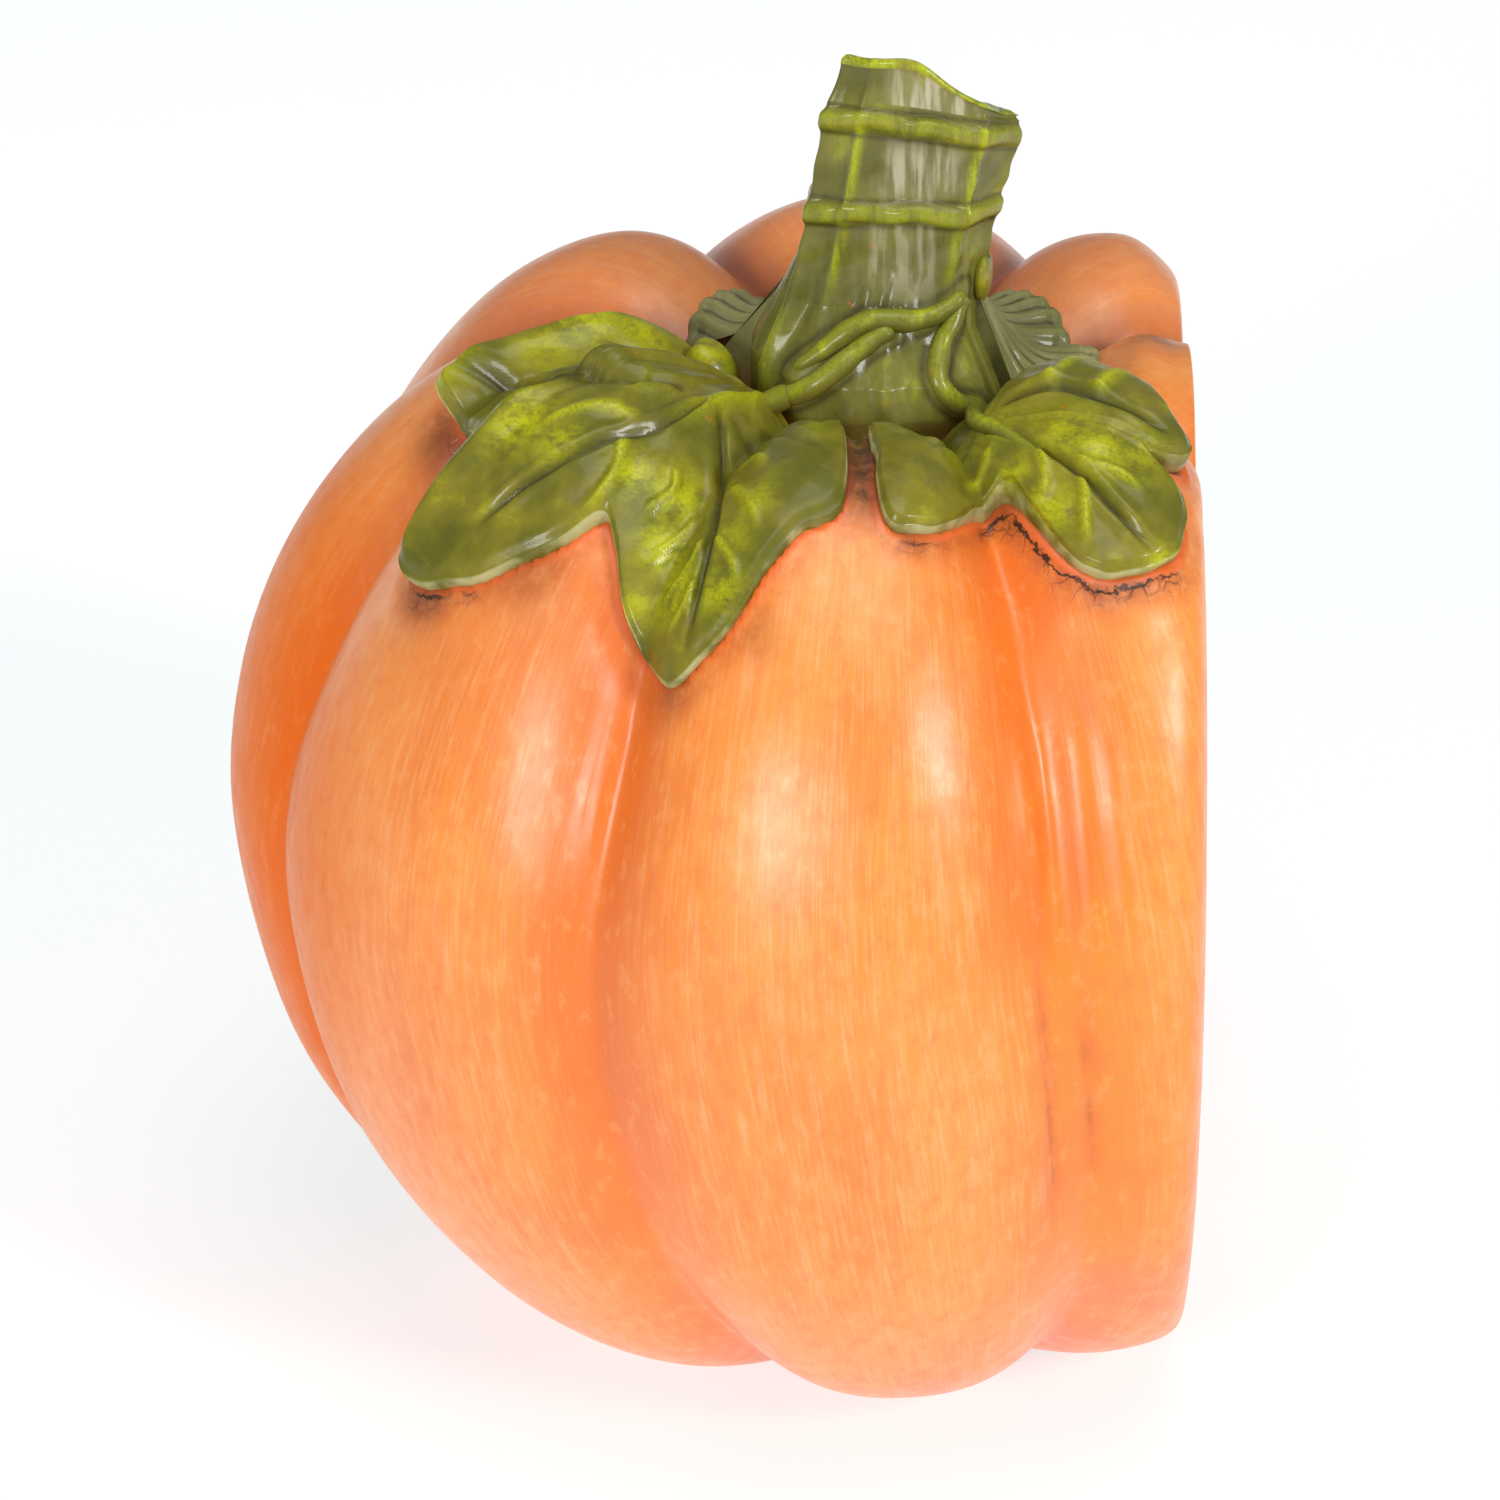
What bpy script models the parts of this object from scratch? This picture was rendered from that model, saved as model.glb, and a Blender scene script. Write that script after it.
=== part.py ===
"""Ceramic pumpkin figure with a flat back: a hollow lobed shell, a faceted stem with two rings,
a ribbed calyx, two draped leaves and the strands that tie them to the stem.

Frame: +Z up, the stem's axis meets the base plane at the origin, the flat back faces +Y.
Angles round the pumpkin are measured from +X towards +Y.
"""
import math

import bmesh
import bpy
import numpy as np

for old in list(bpy.data.objects):
    bpy.data.objects.remove(old, do_unlink=True)

MM = 0.001

# ---------------------------------------------------------------- driving sizes (metres)
BODY_RADIUS = 0.140
BODY_HEIGHT = 0.219
BACK_DEPTH = 0.0655
WALL = 0.0065
VENT_RADIUS = 0.008
VENT_OFFSET = 0.022
FOOT_TWIST = 12.0

STEM_HALF_WIDTH = 0.0198
STEM_RISE = 0.0793
RING_TILT_SIDE = -0.114
RING_TILT_DEPTH = 0.30
STEM_SLOPE_SIDE = -0.41
STEM_SLOPE_DEPTH = 0.40
RING_OUT = 0.0019
RING_HALF = 0.0026
RING_HEIGHTS = (0.0522, 0.0715)

CALYX_REACH = 0.0485
CALYX_LIFT = 0.0042
CALYX_FROM = 100.0
CALYX_TO = 246.0
CALYX_RIBS = 13

LEAF_SINK = 0.0055
STRAND_RADIUS = 0.0026

GAP = 0.00035

# ---------------------------------------------------------------- resolution
STEPS_PER_LOBE = 9
BODY_RINGS = 32
CAVITY_STEPS = 5
CAVITY_RINGS = 14

# Profiles of a lobe's crest and of a groove, from the hub out over the shoulder and down to the base:
# distance from the axis as a share of BODY_RADIUS, height as a share of BODY_HEIGHT.
CREST = (
    (0.000, 0.914), (0.145, 0.914), (0.270, 0.954), (0.415, 1.000), (0.570, 0.996),
    (0.735, 0.927), (0.880, 0.804), (0.978, 0.640), (0.993, 0.484), (0.914, 0.283),
    (0.743, 0.119), (0.571, 0.032), (0.414, 0.000), (0.264, 0.000), (0.000, 0.000),
)
GROOVE = (
    (0.000, 0.900), (0.130, 0.892), (0.257, 0.909), (0.393, 0.940), (0.535, 0.932),
    (0.686, 0.872), (0.814, 0.745), (0.907, 0.594), (0.921, 0.457), (0.843, 0.283),
    (0.693, 0.155), (0.543, 0.068), (0.414, 0.018), (0.264, 0.000), (0.000, 0.000),
)
HUB_HEIGHT = CREST[0][1] * BODY_HEIGHT
# Each lobe: the angle of the groove it starts at, the lift of its shoulder (metres).
LOBES = (
    (-151.0, 0.002), (-108.0, -0.003), (-76.0, 0.0), (-28.0, 0.0),
    (16.0, 0.0), (63.0, 0.0), (110.0, 0.0), (155.0, 0.001),
)


def spline(points, t):
    """Point at 0..1 along a smooth curve through the given points."""
    p = np.array(points, float)
    count = len(p) - 1
    q = np.vstack([2 * p[0] - p[1], p, 2 * p[-1] - p[-2]])
    s = np.clip(t, 0.0, 1.0) * count
    i = np.minimum(s.astype(int), count - 1)
    f = (s - i)[..., None]
    a, b, c, d = q[i], q[i + 1], q[i + 2], q[i + 3]
    cubic = -a + 3 * b - 3 * c + d
    square = 2 * a - 5 * b + 4 * c - d
    return 0.5 * (2 * b + (c - a) * f + square * f ** 2 + cubic * f ** 3)


def smooth(x):
    x = np.clip(x, 0.0, 1.0)
    return x * x * (3 - 2 * x)


def inset_profile(profile, inset):
    """The profile in metres, moved inwards along its normal."""
    t = np.linspace(0, 1, 8 * (len(profile) - 1) + 1)
    p = spline(profile, t) * (BODY_RADIUS, BODY_HEIGHT)
    d = np.gradient(p, axis=0)
    d /= np.linalg.norm(d, axis=1)[:, None]
    d[0] = (1, 0)
    d[-1] = (-1, 0)
    q = p + inset * np.stack([d[:, 1], -d[:, 0]], -1)
    q[:, 0] = np.maximum(q[:, 0], 0)
    q[0, 0] = 0
    q[-1, 0] = 0
    return q


def lobed(psi, t, inset=0.0):
    """Point of the lobed skin at angle psi (degrees) and 0..1 from hub to base."""
    psi = np.asarray(psi, float)
    t = np.asarray(t, float)
    crest = spline(inset_profile(CREST, inset), t)
    groove = spline(inset_profile(GROOVE, inset), t)
    start = np.array([lobe[0] for lobe in LOBES] + [LOBES[0][0] + 360.0])
    lift = np.array([lobe[1] for lobe in LOBES])
    a = np.mod(psi - start[0], 360.0) + start[0]
    i = np.clip(np.searchsorted(start, a, side="right") - 1, 0, len(LOBES) - 1)
    u = (a - start[i]) / (start[i + 1] - start[i])
    bulge = (1 - np.abs(2 * u - 1) ** 2.2) ** 0.75
    m = groove + (crest - groove) * bulge[..., None]
    z = m[..., 1] + lift[i] * bulge * np.exp(-((t - 0.3) / 0.15) ** 2)
    turn = np.radians(psi + FOOT_TWIST * smooth((t - 0.45) / 0.45))
    return np.stack([m[..., 0] * np.cos(turn), m[..., 0] * np.sin(turn), z], -1)


ARC_T = np.linspace(0, 1, 801)
ARC_P = spline(CREST, ARC_T) * (BODY_RADIUS, BODY_HEIGHT)
ARC_S = np.concatenate([[0], np.cumsum(np.hypot(*np.diff(ARC_P, axis=0).T))])
ARC_D = np.gradient(ARC_P, axis=0)
ARC_D /= np.linalg.norm(ARC_D, axis=1)[:, None]


def draped(along, across, lift):
    """Point above the skin. The first two values unroll the pumpkin's top from its hub:
    along runs over the +X side and across over the +Y side, both as lengths on the skin."""
    s = np.hypot(along, across)
    psi = np.degrees(np.arctan2(across, along))
    t = np.interp(s, ARC_S, ARC_T)
    p = lobed(psi, t)
    nr = -np.interp(s, ARC_S, ARC_D[:, 1])
    nz = np.interp(s, ARC_S, ARC_D[:, 0])
    k = lift / np.hypot(nr, nz)
    turn = np.radians(psi)
    return p + np.stack([k * nr * np.cos(turn), k * nr * np.sin(turn), k * nz], -1)


# ---------------------------------------------------------------- Blender helpers
def collection(name):
    made = bpy.data.collections.new(name)
    bpy.context.scene.collection.children.link(made)
    return made


PARTS = collection("pumpkin_figure")
CUTTERS = collection("cutters")


def material(name, colour, roughness, metallic=0.0):
    made = bpy.data.materials.new(name)
    made.use_nodes = True
    shader = made.node_tree.nodes["Principled BSDF"]
    shader.inputs["Base Color"].default_value = (*colour, 1.0)
    shader.inputs["Roughness"].default_value = roughness
    shader.inputs["Metallic"].default_value = metallic
    return made


def add(name, bm, finish=None, where=PARTS):
    bmesh.ops.recalc_face_normals(bm, faces=bm.faces)
    mesh = bpy.data.meshes.new(name)
    bm.to_mesh(mesh)
    bm.free()
    made = bpy.data.objects.new(name, mesh)
    where.objects.link(made)
    mesh.shade_smooth()
    mesh.set_sharp_from_angle(angle=math.radians(50))
    if finish:
        mesh.materials.append(finish)
    if where is CUTTERS:
        made.hide_render = True
        made.display_type = "WIRE"
    return made


def grown(source, name, gap):
    """A cutter of the same shape with its skin moved out by gap."""
    bm = bmesh.new()
    bm.from_mesh(source.data)
    bm.normal_update()
    for v in bm.verts:
        v.co += v.normal * gap * min(v.calc_shell_factor(), 1.6)
    return add(name, bm, where=CUTTERS)


def cut(target, *cutters):
    for cutter in cutters:
        mod = target.modifiers.new("cut_" + cutter.name, "BOOLEAN")
        mod.operation = "DIFFERENCE"
        mod.solver = "EXACT"
        mod.object = cutter


def reshaped_sphere(segments, rings, place):
    """A UV sphere whose vertices are put where place(column, row) says, poles included."""
    bm = bmesh.new()
    bmesh.ops.create_uvsphere(bm, u_segments=segments, v_segments=rings, radius=1.0)
    columns = []
    rows = []
    for v in bm.verts:
        turn = math.atan2(v.co.y, v.co.x) % (2 * math.pi)
        columns.append(round(turn / (2 * math.pi) * segments) % segments)
        rows.append(round(math.acos(max(-1.0, min(1.0, v.co.z))) / math.pi * rings))
    placed = place(np.array(columns), np.array(rows))
    for v, p in zip(bm.verts, placed):
        v.co = p
    return bm


def lobe_angles(columns, steps):
    """Angle of a column, with the same number of steps in every lobe and more near its grooves."""
    start = np.array([lobe[0] for lobe in LOBES] + [LOBES[0][0] + 360.0])
    i = columns // steps
    u = (columns % steps) / steps
    u = u + 0.06 * np.sin(4 * np.pi * u) * -1.0 * (steps > 6)
    return start[i] + (start[i + 1] - start[i]) * u


def pumpkin(name, steps, rings, inset, where):
    def place(columns, rows):
        return lobed(lobe_angles(columns, steps), rows / rings, inset)
    return add(name, reshaped_sphere(len(LOBES) * steps, rings, place), where=where)


def block(name, size, centre):
    bm = bmesh.new()
    bmesh.ops.create_cube(bm, size=1.0)
    for v in bm.verts:
        v.co = [v.co[k] * size[k] + centre[k] for k in range(3)]
    return add(name, bm, where=CUTTERS)


# ---------------------------------------------------------------- shell
# Slip-cast earthenware: eight lobes, a flat back, an even wall and a vent in the base.
orange = material("orange_glaze", (0.83, 0.28, 0.07), 0.35)
green = material("green_glaze", (0.12, 0.15, 0.03), 0.30)
dusty = material("dusty_green_glaze", (0.14, 0.16, 0.06), 0.50)

SPAN = 4 * BODY_RADIUS
body = pumpkin("body_shell", STEPS_PER_LOBE, BODY_RINGS, 0.0, PARTS)
body.data.materials.append(orange)
skin_clear = grown(body, "skin_clear", GAP)

back = block("back_cut", (SPAN, SPAN, SPAN), (0, BACK_DEPTH + SPAN / 2, BODY_HEIGHT / 2))
cavity = pumpkin("cavity", CAVITY_STEPS, CAVITY_RINGS, WALL, CUTTERS)
inner_back = block("inner_back_cut", (SPAN, SPAN, SPAN), (0, BACK_DEPTH - WALL + SPAN / 2, BODY_HEIGHT / 2))
cut(cavity, inner_back)

bm = bmesh.new()
bmesh.ops.create_cone(bm, cap_ends=True, segments=20, radius1=VENT_RADIUS, radius2=VENT_RADIUS, depth=6 * WALL)
vent = add("vent_cut", bm, where=CUTTERS)
vent.location = (0, VENT_OFFSET, 0)
cut(body, back, cavity, vent)


# ---------------------------------------------------------------- stem
# A leaning stalk with a flat front face between two narrow facets, flared at its foot.
FACETS = (
    (-1.00, 0.56), (-0.62, 0.72), (0.70, 0.76), (1.03, 0.40), (0.72, -0.70), (-0.78, -0.66),
)
# Height above the hub (metres), half-width at the sides and at the front as shares of
# STEM_HALF_WIDTH, roundness of the section, sideways shift of its centre (metres).
FOOT = (
    (-0.004, 1.20, 1.55, 1.0, 0.0),
    (0.004, 1.38, 1.80, 1.0, 0.0),
    (0.011, 1.36, 1.84, 0.9, 0.0),
    (0.018, 1.22, 1.72, 0.75, -0.001),
    (0.025, 1.08, 1.36, 0.45, -0.001),
    (0.032, 1.00, 1.08, 0.15, 0.0005),
    (0.040, 0.96, 1.00, 0.0, 0.002),
    (0.046, 0.96, 1.00, 0.0, 0.003),
    (0.072, 0.99, 1.00, 0.0, 0.0078),
    (0.086, 0.90, 0.97, 0.0, 0.0092),
)
STEM_SIDES = 30


def stem_section(angle, height):
    """Distance from the stem's centre line to its skin, and the centre's shift, at a height."""
    foot = np.array(FOOT)
    side, front, round_, shift = [np.interp(height, foot[:, 0], foot[:, k]) for k in (1, 2, 3, 4)]
    a = np.radians(angle)
    dx, dy = np.cos(a), np.sin(a)
    corners = np.array([(x, y) for y, x in FACETS])
    reach = np.full(np.shape(a), np.inf)
    for k in range(len(corners)):
        p, q = corners[k], corners[(k + 1) % len(corners)]
        n = np.array([(q - p)[1], -(q - p)[0]])
        n = n if n @ (p + q) > 0 else -n
        facing = dx * n[0] + dy * n[1]
        reach = np.where(facing > 1e-6, np.minimum(reach, (n @ p) / np.maximum(facing, 1e-6)), reach)
    polygon = reach * STEM_HALF_WIDTH
    ahead = 0.5 + 0.5 * dx
    oval = STEM_HALF_WIDTH * (side + (front * 0.80 - side) * ahead ** 2)
    flat = polygon * (side + (front - side) * np.maximum(dx, 0) ** 2)
    ring = 0.0
    for at in RING_HEIGHTS:
        ring = ring + RING_OUT * np.exp(-(np.abs(height - at) / RING_HALF) ** 4)
    return flat * (1 - round_) + oval * round_ + ring, shift


def on_stem(angle, height, out):
    """Point outside the stem's skin at an angle and a height above the hub."""
    reach, shift = stem_section(np.asarray(angle, float), height)
    a = math.radians(angle)
    r = float(reach) + out
    return np.array([r * math.cos(a), r * math.sin(a) + float(shift), HUB_HEIGHT + height])


def stem_heights():
    rings = [-0.004, 0.000, 0.005, 0.011, 0.018, 0.025, 0.032, 0.040]
    for at in RING_HEIGHTS:
        rings += [at - 1.35 * RING_HALF, at - 0.8 * RING_HALF, at + 0.8 * RING_HALF, at + 1.35 * RING_HALF]
    return sorted(rings)


bm = bmesh.new()
angles = np.arange(STEM_SIDES) * 360.0 / STEM_SIDES
loops = []
for height in stem_heights():
    reach, shift = stem_section(angles, height)
    a = np.radians(angles)
    x = reach * np.cos(a)
    y = reach * np.sin(a) + shift
    tilted = smooth((height - 0.050) / 0.020)
    tilt = (RING_TILT_SIDE * (y - shift) + RING_TILT_DEPTH * (x - 0.75 * STEM_HALF_WIDTH)) * tilted
    loops.append([bm.verts.new((x[k], y[k], HUB_HEIGHT + height + tilt[k])) for k in range(STEM_SIDES)])
reach, shift = stem_section(angles, STEM_RISE + 0.004)
a = np.radians(angles)
x = reach * np.cos(a)
y = reach * np.sin(a) + shift
z = HUB_HEIGHT + STEM_RISE + STEM_SLOPE_SIDE * y + STEM_SLOPE_DEPTH * x
last = np.array([v.co.z for v in loops[-1]])
z = np.maximum(z, last + 0.0012)
loops.append([bm.verts.new((x[k], y[k], z[k])) for k in range(STEM_SIDES)])
for low, high in zip(loops, loops[1:]):
    for k in range(STEM_SIDES):
        n = (k + 1) % STEM_SIDES
        bm.faces.new((low[k], low[n], high[n], high[k]))
bm.faces.new(loops[-1])
bm.faces.new(list(reversed(loops[0])))
stem = add("stem", bm, green)
stem_clear = grown(stem, "stem_clear", GAP)
cut(stem, skin_clear)


# ---------------------------------------------------------------- draped solids
def sheet(name, rows, columns, place, depth, finish, closed):
    """A solid pad on the skin: place(row, column) gives along, across and lift of its face,
    and its underside lies depth below the skin. A closed pad's first row is one point."""
    top = {}
    low = {}
    bm = bmesh.new()
    for i in range(rows + 1):
        for j in range(columns + (0 if closed else 1)):
            key = (i, j) if i or not closed else (0, 0)
            if key in top:
                continue
            along, across, lift = place(i / rows, j / columns)
            top[key] = bm.verts.new(draped(along, across, lift))
            low[key] = bm.verts.new(draped(along, across, -depth))

    def at(side, i, j):
        j = j % columns if closed else j
        return side[(i, j) if i or not closed else (0, 0)]

    for side in (top, low):
        for i in range(rows):
            for j in range(columns):
                ring = [at(side, i, j), at(side, i + 1, j), at(side, i + 1, j + 1), at(side, i, j + 1)]
                unique = [v for k, v in enumerate(ring) if v not in ring[:k]]
                bm.faces.new(unique)
    edges = [((rows, j), (rows, j + 1)) for j in range(columns)]
    if not closed:
        edges += [((0, j), (0, j + 1)) for j in range(columns)]
        edges += [((i, 0), (i + 1, 0)) for i in range(rows)]
        edges += [((i, columns), (i + 1, columns)) for i in range(rows)]
    for p, q in edges:
        bm.faces.new((at(top, *p), at(top, *q), at(low, *q), at(low, *p)))
    return add(name, bm, finish)


def leaf(name, junction, outline, centre_lift, columns, rows, finish):
    """A leaf that spreads from its junction. Each outline row holds a direction (degrees),
    the leaf's reach there, the lift of its rim and the lift half-way out (millimetres)."""
    table = np.array(sorted(outline), float)
    table = np.vstack([table[-1:] - (360, 0, 0, 0), table, table[:1] + (360, 0, 0, 0)])
    # every outline row is a column, and the widest openings are divided until all are used
    directions = list(table[1:-1, 0])
    while len(directions) < columns:
        wide = [(directions + [directions[0] + 360])[k + 1] - directions[k] for k in range(len(directions))]
        k = int(np.argmax(wide))
        directions.insert(k + 1, directions[k] + wide[k] / 2)
    directions = np.array(directions)

    def place(out, turn):
        direction = directions[int(round(turn * columns)) % columns]
        direction = (direction - table[1, 0]) % 360.0 + table[1, 0]
        reach, rim, mid = [np.interp(direction, table[:, 0], table[:, k]) for k in (1, 2, 3)]
        near = centre_lift * (1 - out) * (1 - 2 * out)
        lift = near + 4 * mid * out * (1 - out) + rim * out * (2 * out - 1)
        lift = max(lift, 0.8 * rim if out > 0.5 else 2.0)
        a = math.radians(direction)
        along = junction[0] + out * reach * math.cos(a)
        across = junction[1] + out * reach * math.sin(a)
        return along * MM, across * MM, lift * MM

    made = sheet(name, rows, columns, place, LEAF_SINK, finish, True)
    return made


# ---------------------------------------------------------------- left leaf
# Five lobes over the left and front shoulders; the middle left lobe folds over the upper one.
LEFT_JUNCTION = (24.0, -33.0)
LEFT_OUTLINE = (
    (34, 44, 4, 5), (27, 56, 4, 6), (20, 69, 3, 7), (11, 71, 3, 7), (5, 76, 3, 7), (-1, 84, 3, 6),
    (-6, 93, 3, 6), (-10, 96, 3, 6), (-14, 92, 3, 6), (-18, 82, 3, 6), (-23, 62, 4, 6), (-25, 56, 5, 6),
    (-28, 60, 5, 7), (-34, 68, 4, 7), (-42, 76, 3, 7), (-51, 84, 3, 6), (-57, 89, 3, 5), (-61, 86, 4, 7),
    (-64, 74, 7, 10), (-67, 61, 8, 10), (-71, 58, 3, 6), (-81, 62, 3, 6), (-91, 67, 3, 7),
    (-98, 68, 5, 8), (-104, 60, 7, 10), (-111, 50, 8, 11), (-120, 41, 7, 9), (-136, 31, 5, 7),
    (-145, 17, 5, 6), (-156, 16, 5, 6), (-168, 15, 5, 6), (170, 11, 6, 7), (120, 8, 7, 7), (80, 9, 6, 7), (50, 18, 5, 6),
)
left = leaf("leaf_left", LEFT_JUNCTION, LEFT_OUTLINE, 8.0, 44, 4, green)
left_clear = grown(left, "leaf_left_clear", GAP)
cut(left, skin_clear, stem_clear)

# ---------------------------------------------------------------- right leaf
# Three lobes over the front and right shoulders, with a high notch and an upturned rear lobe.
RIGHT_JUNCTION = (57.0, 21.0)
RIGHT_OUTLINE = (
    (-78, 26, 4, 5), (-51, 30, 3, 6), (-37, 37, 3, 7), (-28, 39, 3, 7), (-18, 35, 3, 7), (-8, 29, 4, 6),
    (0, 24, 6, 6), (8, 20, 8, 6), (12, 19, 9, 6), (15, 24, 8, 6), (18, 34, 5, 6), (22, 42, 3, 6), (30, 48, 3, 6),
    (42, 51, 3, 6), (53, 52, 3, 6), (62, 48, 3, 6), (70, 38, 4, 6), (75, 35, 4, 6), (79, 40, 3, 6),
    (84, 44, 3, 6), (89, 44.5, 4, 6), (97, 41, 7, 9), (111, 40, 8, 11), (129, 43, 8, 11),
    (141, 45, 8, 11), (153, 43, 7, 9),
    (166, 34, 5, 7), (185, 22, 6, 6), (215, 13, 6, 6), (245, 14, 6, 6), (265, 20, 5, 5),
)
right = leaf("leaf_right", RIGHT_JUNCTION, RIGHT_OUTLINE, 6.0, 42, 4, green)
right_clear = grown(right, "leaf_right_clear", GAP)
leaf_back = block("leaf_back_cut", (SPAN, SPAN, SPAN), (0, BACK_DEPTH - GAP + SPAN / 2, BODY_HEIGHT / 2))
cut(right, skin_clear, stem_clear, leaf_back)


# ---------------------------------------------------------------- small pressed pieces
def pressed(name, half_sizes, centre, tilt, finish=None, where=PARTS):
    """A small oval of clay, pressed on beside its neighbours."""
    bm = bmesh.new()
    bmesh.ops.create_uvsphere(bm, u_segments=16, v_segments=10, radius=1.0)
    for v in bm.verts:
        v.co = [v.co[k] * half_sizes[k] for k in range(3)]
    made = add(name, bm, finish, where)
    made.location = centre
    made.rotation_euler = tilt
    return made


# The rolled end of the left leaf's rear lobe lies in a hollow of the leaf.
CURL_HALF = np.array([0.0046, 0.0066, 0.0052])
curl_centre = draped(1.5 * MM, -41 * MM, 5.5 * MM)
curl_tilt = (math.radians(25), 0, math.radians(-20))
curl = pressed("leaf_curl", CURL_HALF, curl_centre, curl_tilt, green)
curl_clear = pressed("leaf_curl_clear", CURL_HALF + 1.3 * GAP, curl_centre, curl_tilt, where=CUTTERS)
cut(curl, skin_clear, stem_clear)
cut(left, curl_clear)


# ---------------------------------------------------------------- calyx
# A ribbed collar round the back of the stem's foot, spread on the hollow of the hub.
def calyx_place(out, turn):
    psi = math.radians(CALYX_FROM + (CALYX_TO - CALYX_FROM) * turn)
    flute = 1 + 0.04 * math.cos(2 * math.pi * CALYX_RIBS * turn)
    inner = 1.05 * STEM_HALF_WIDTH
    s = inner + (CALYX_REACH * flute - inner) * out
    lift = CALYX_LIFT + 0.0012 * math.cos(2 * math.pi * CALYX_RIBS * turn) - 0.0016 * out ** 3
    return s * math.cos(psi), s * math.sin(psi), lift


calyx = sheet("calyx", 4, 3 * CALYX_RIBS, calyx_place, 0.004, dusty, False)
cut(calyx, skin_clear, stem_clear, left_clear, right_clear, curl_clear)


# ---------------------------------------------------------------- strands
# Round clay strands from the front of the stem's foot to the two leaves.
def strand(name, points, radii, finish):
    path = spline(points, np.linspace(0, 1, 4 * len(points)))
    size = np.interp(np.linspace(0, 1, len(path)), np.linspace(0, 1, len(radii)), radii)
    curve = bpy.data.curves.new(name, "CURVE")
    curve.dimensions = "3D"
    curve.bevel_depth = 1.0
    curve.bevel_resolution = 2
    curve.use_fill_caps = True
    poly = curve.splines.new("POLY")
    poly.points.add(len(path) - 1)
    for point, place, radius in zip(poly.points, path, size):
        point.co = (*place, 1.0)
        point.radius = radius
    guide = bpy.data.objects.new(name + "_path", curve)
    CUTTERS.objects.link(guide)
    bpy.context.view_layer.update()
    tube = bpy.data.meshes.new_from_object(guide.evaluated_get(bpy.context.evaluated_depsgraph_get()))
    bpy.data.objects.remove(guide, do_unlink=True)
    bm = bmesh.new()
    bm.from_mesh(tube)
    bmesh.ops.remove_doubles(bm, verts=bm.verts, dist=0.00005)
    return add(name, bm, finish)


def bowed(start, end, bows):
    """Points from start to end: each bow is a share of the way and an offset (millimetres)."""
    points = [start]
    for share, dx, dy, dz in bows:
        points.append(start + (end - start) * share + np.array([dx, dy, dz]) * MM)
    return points + [end]


right_end = draped(50 * MM, 20 * MM, 8.6 * MM)
knot = on_stem(51, 0.0364, 0.0010)
right_bows = ((0.15, 1.5, -4.0, -1.5), (0.28, 0.5, -7.5, -4.5), (0.45, 0, -8.0, -6.0), (0.65, 0, -5.5, -5.5),
              (0.83, 0, -1.5, -2.5))
vine_right = strand("vine_right", bowed(knot, right_end, right_bows),
                    (1.1 * STRAND_RADIUS, STRAND_RADIUS, STRAND_RADIUS), green)
vine_right_clear = grown(vine_right, "vine_right_clear", GAP)
cut(vine_right, stem_clear, right_clear)

left_start = on_stem(9, 0.0312, 0.0012)
left_end = draped(29 * MM, -29 * MM, 9.6 * MM)
left_bows = ((0.14, 0.5, 0, -1.0), (0.28, 1.6, 0, -3.0), (0.45, 2.6, 0, -3.6), (0.68, 2.4, 0, -2.4),
             (0.85, 2.0, 0, -1.2))
vine_left = strand("vine_left", bowed(left_start, left_end, left_bows),
                   (0.8 * STRAND_RADIUS, STRAND_RADIUS, 1.1 * STRAND_RADIUS), green)
vine_left_clear = grown(vine_left, "vine_left_clear", GAP)
cut(vine_left, stem_clear, left_clear)

upper_turns = ((36, 0.0345), (27, 0.0328), (15, 0.0330), (0, 0.0322), (-18, 0.0300), (-29, 0.0268),
               (-41, 0.0232), (-52, 0.0195))
vine_upper = strand("vine_upper", [on_stem(turn, height, 0.0010) for turn, height in upper_turns],
                    (0.9 * STRAND_RADIUS, 0.9 * STRAND_RADIUS, 0.7 * STRAND_RADIUS), green)
cut(vine_upper, stem_clear, vine_right_clear, vine_left_clear)


# A small bract that stands against the right side of the stem.
bract = pressed("bract", (0.0042, 0.0018, 0.0056), on_stem(70, 0.0355, 0.0006),
                (math.radians(-4), 0, math.radians(-12)), green)
cut(bract, stem_clear, vine_right_clear)
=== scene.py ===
import math

import bpy
import numpy as np
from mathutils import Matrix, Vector


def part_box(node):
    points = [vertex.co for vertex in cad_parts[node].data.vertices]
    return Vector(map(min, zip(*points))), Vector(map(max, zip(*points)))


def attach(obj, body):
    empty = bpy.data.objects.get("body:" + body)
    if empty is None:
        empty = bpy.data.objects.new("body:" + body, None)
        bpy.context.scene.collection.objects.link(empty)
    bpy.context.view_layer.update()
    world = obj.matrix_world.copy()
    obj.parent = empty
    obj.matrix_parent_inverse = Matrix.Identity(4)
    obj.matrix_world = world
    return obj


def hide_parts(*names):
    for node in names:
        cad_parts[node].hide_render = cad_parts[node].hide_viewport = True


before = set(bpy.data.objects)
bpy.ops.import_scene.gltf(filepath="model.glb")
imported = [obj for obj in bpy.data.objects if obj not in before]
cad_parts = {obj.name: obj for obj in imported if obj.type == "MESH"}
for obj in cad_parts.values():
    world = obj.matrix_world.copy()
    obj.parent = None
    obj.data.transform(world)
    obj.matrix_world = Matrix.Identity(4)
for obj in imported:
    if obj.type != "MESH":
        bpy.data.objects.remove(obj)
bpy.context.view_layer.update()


# ---- Shell -----------------------------------------------------------------------------------
# The pumpkin itself is slip-cast earthenware: eight lobes round a sunken hub and one flat back.
# It is a single hollow casting with a vent in its base, brushed with orange and varnished.
mm = 0.001
shell_radius = 0.140
shell_height = 0.219
back_plane = float(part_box("body_shell")[1][1])
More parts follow.
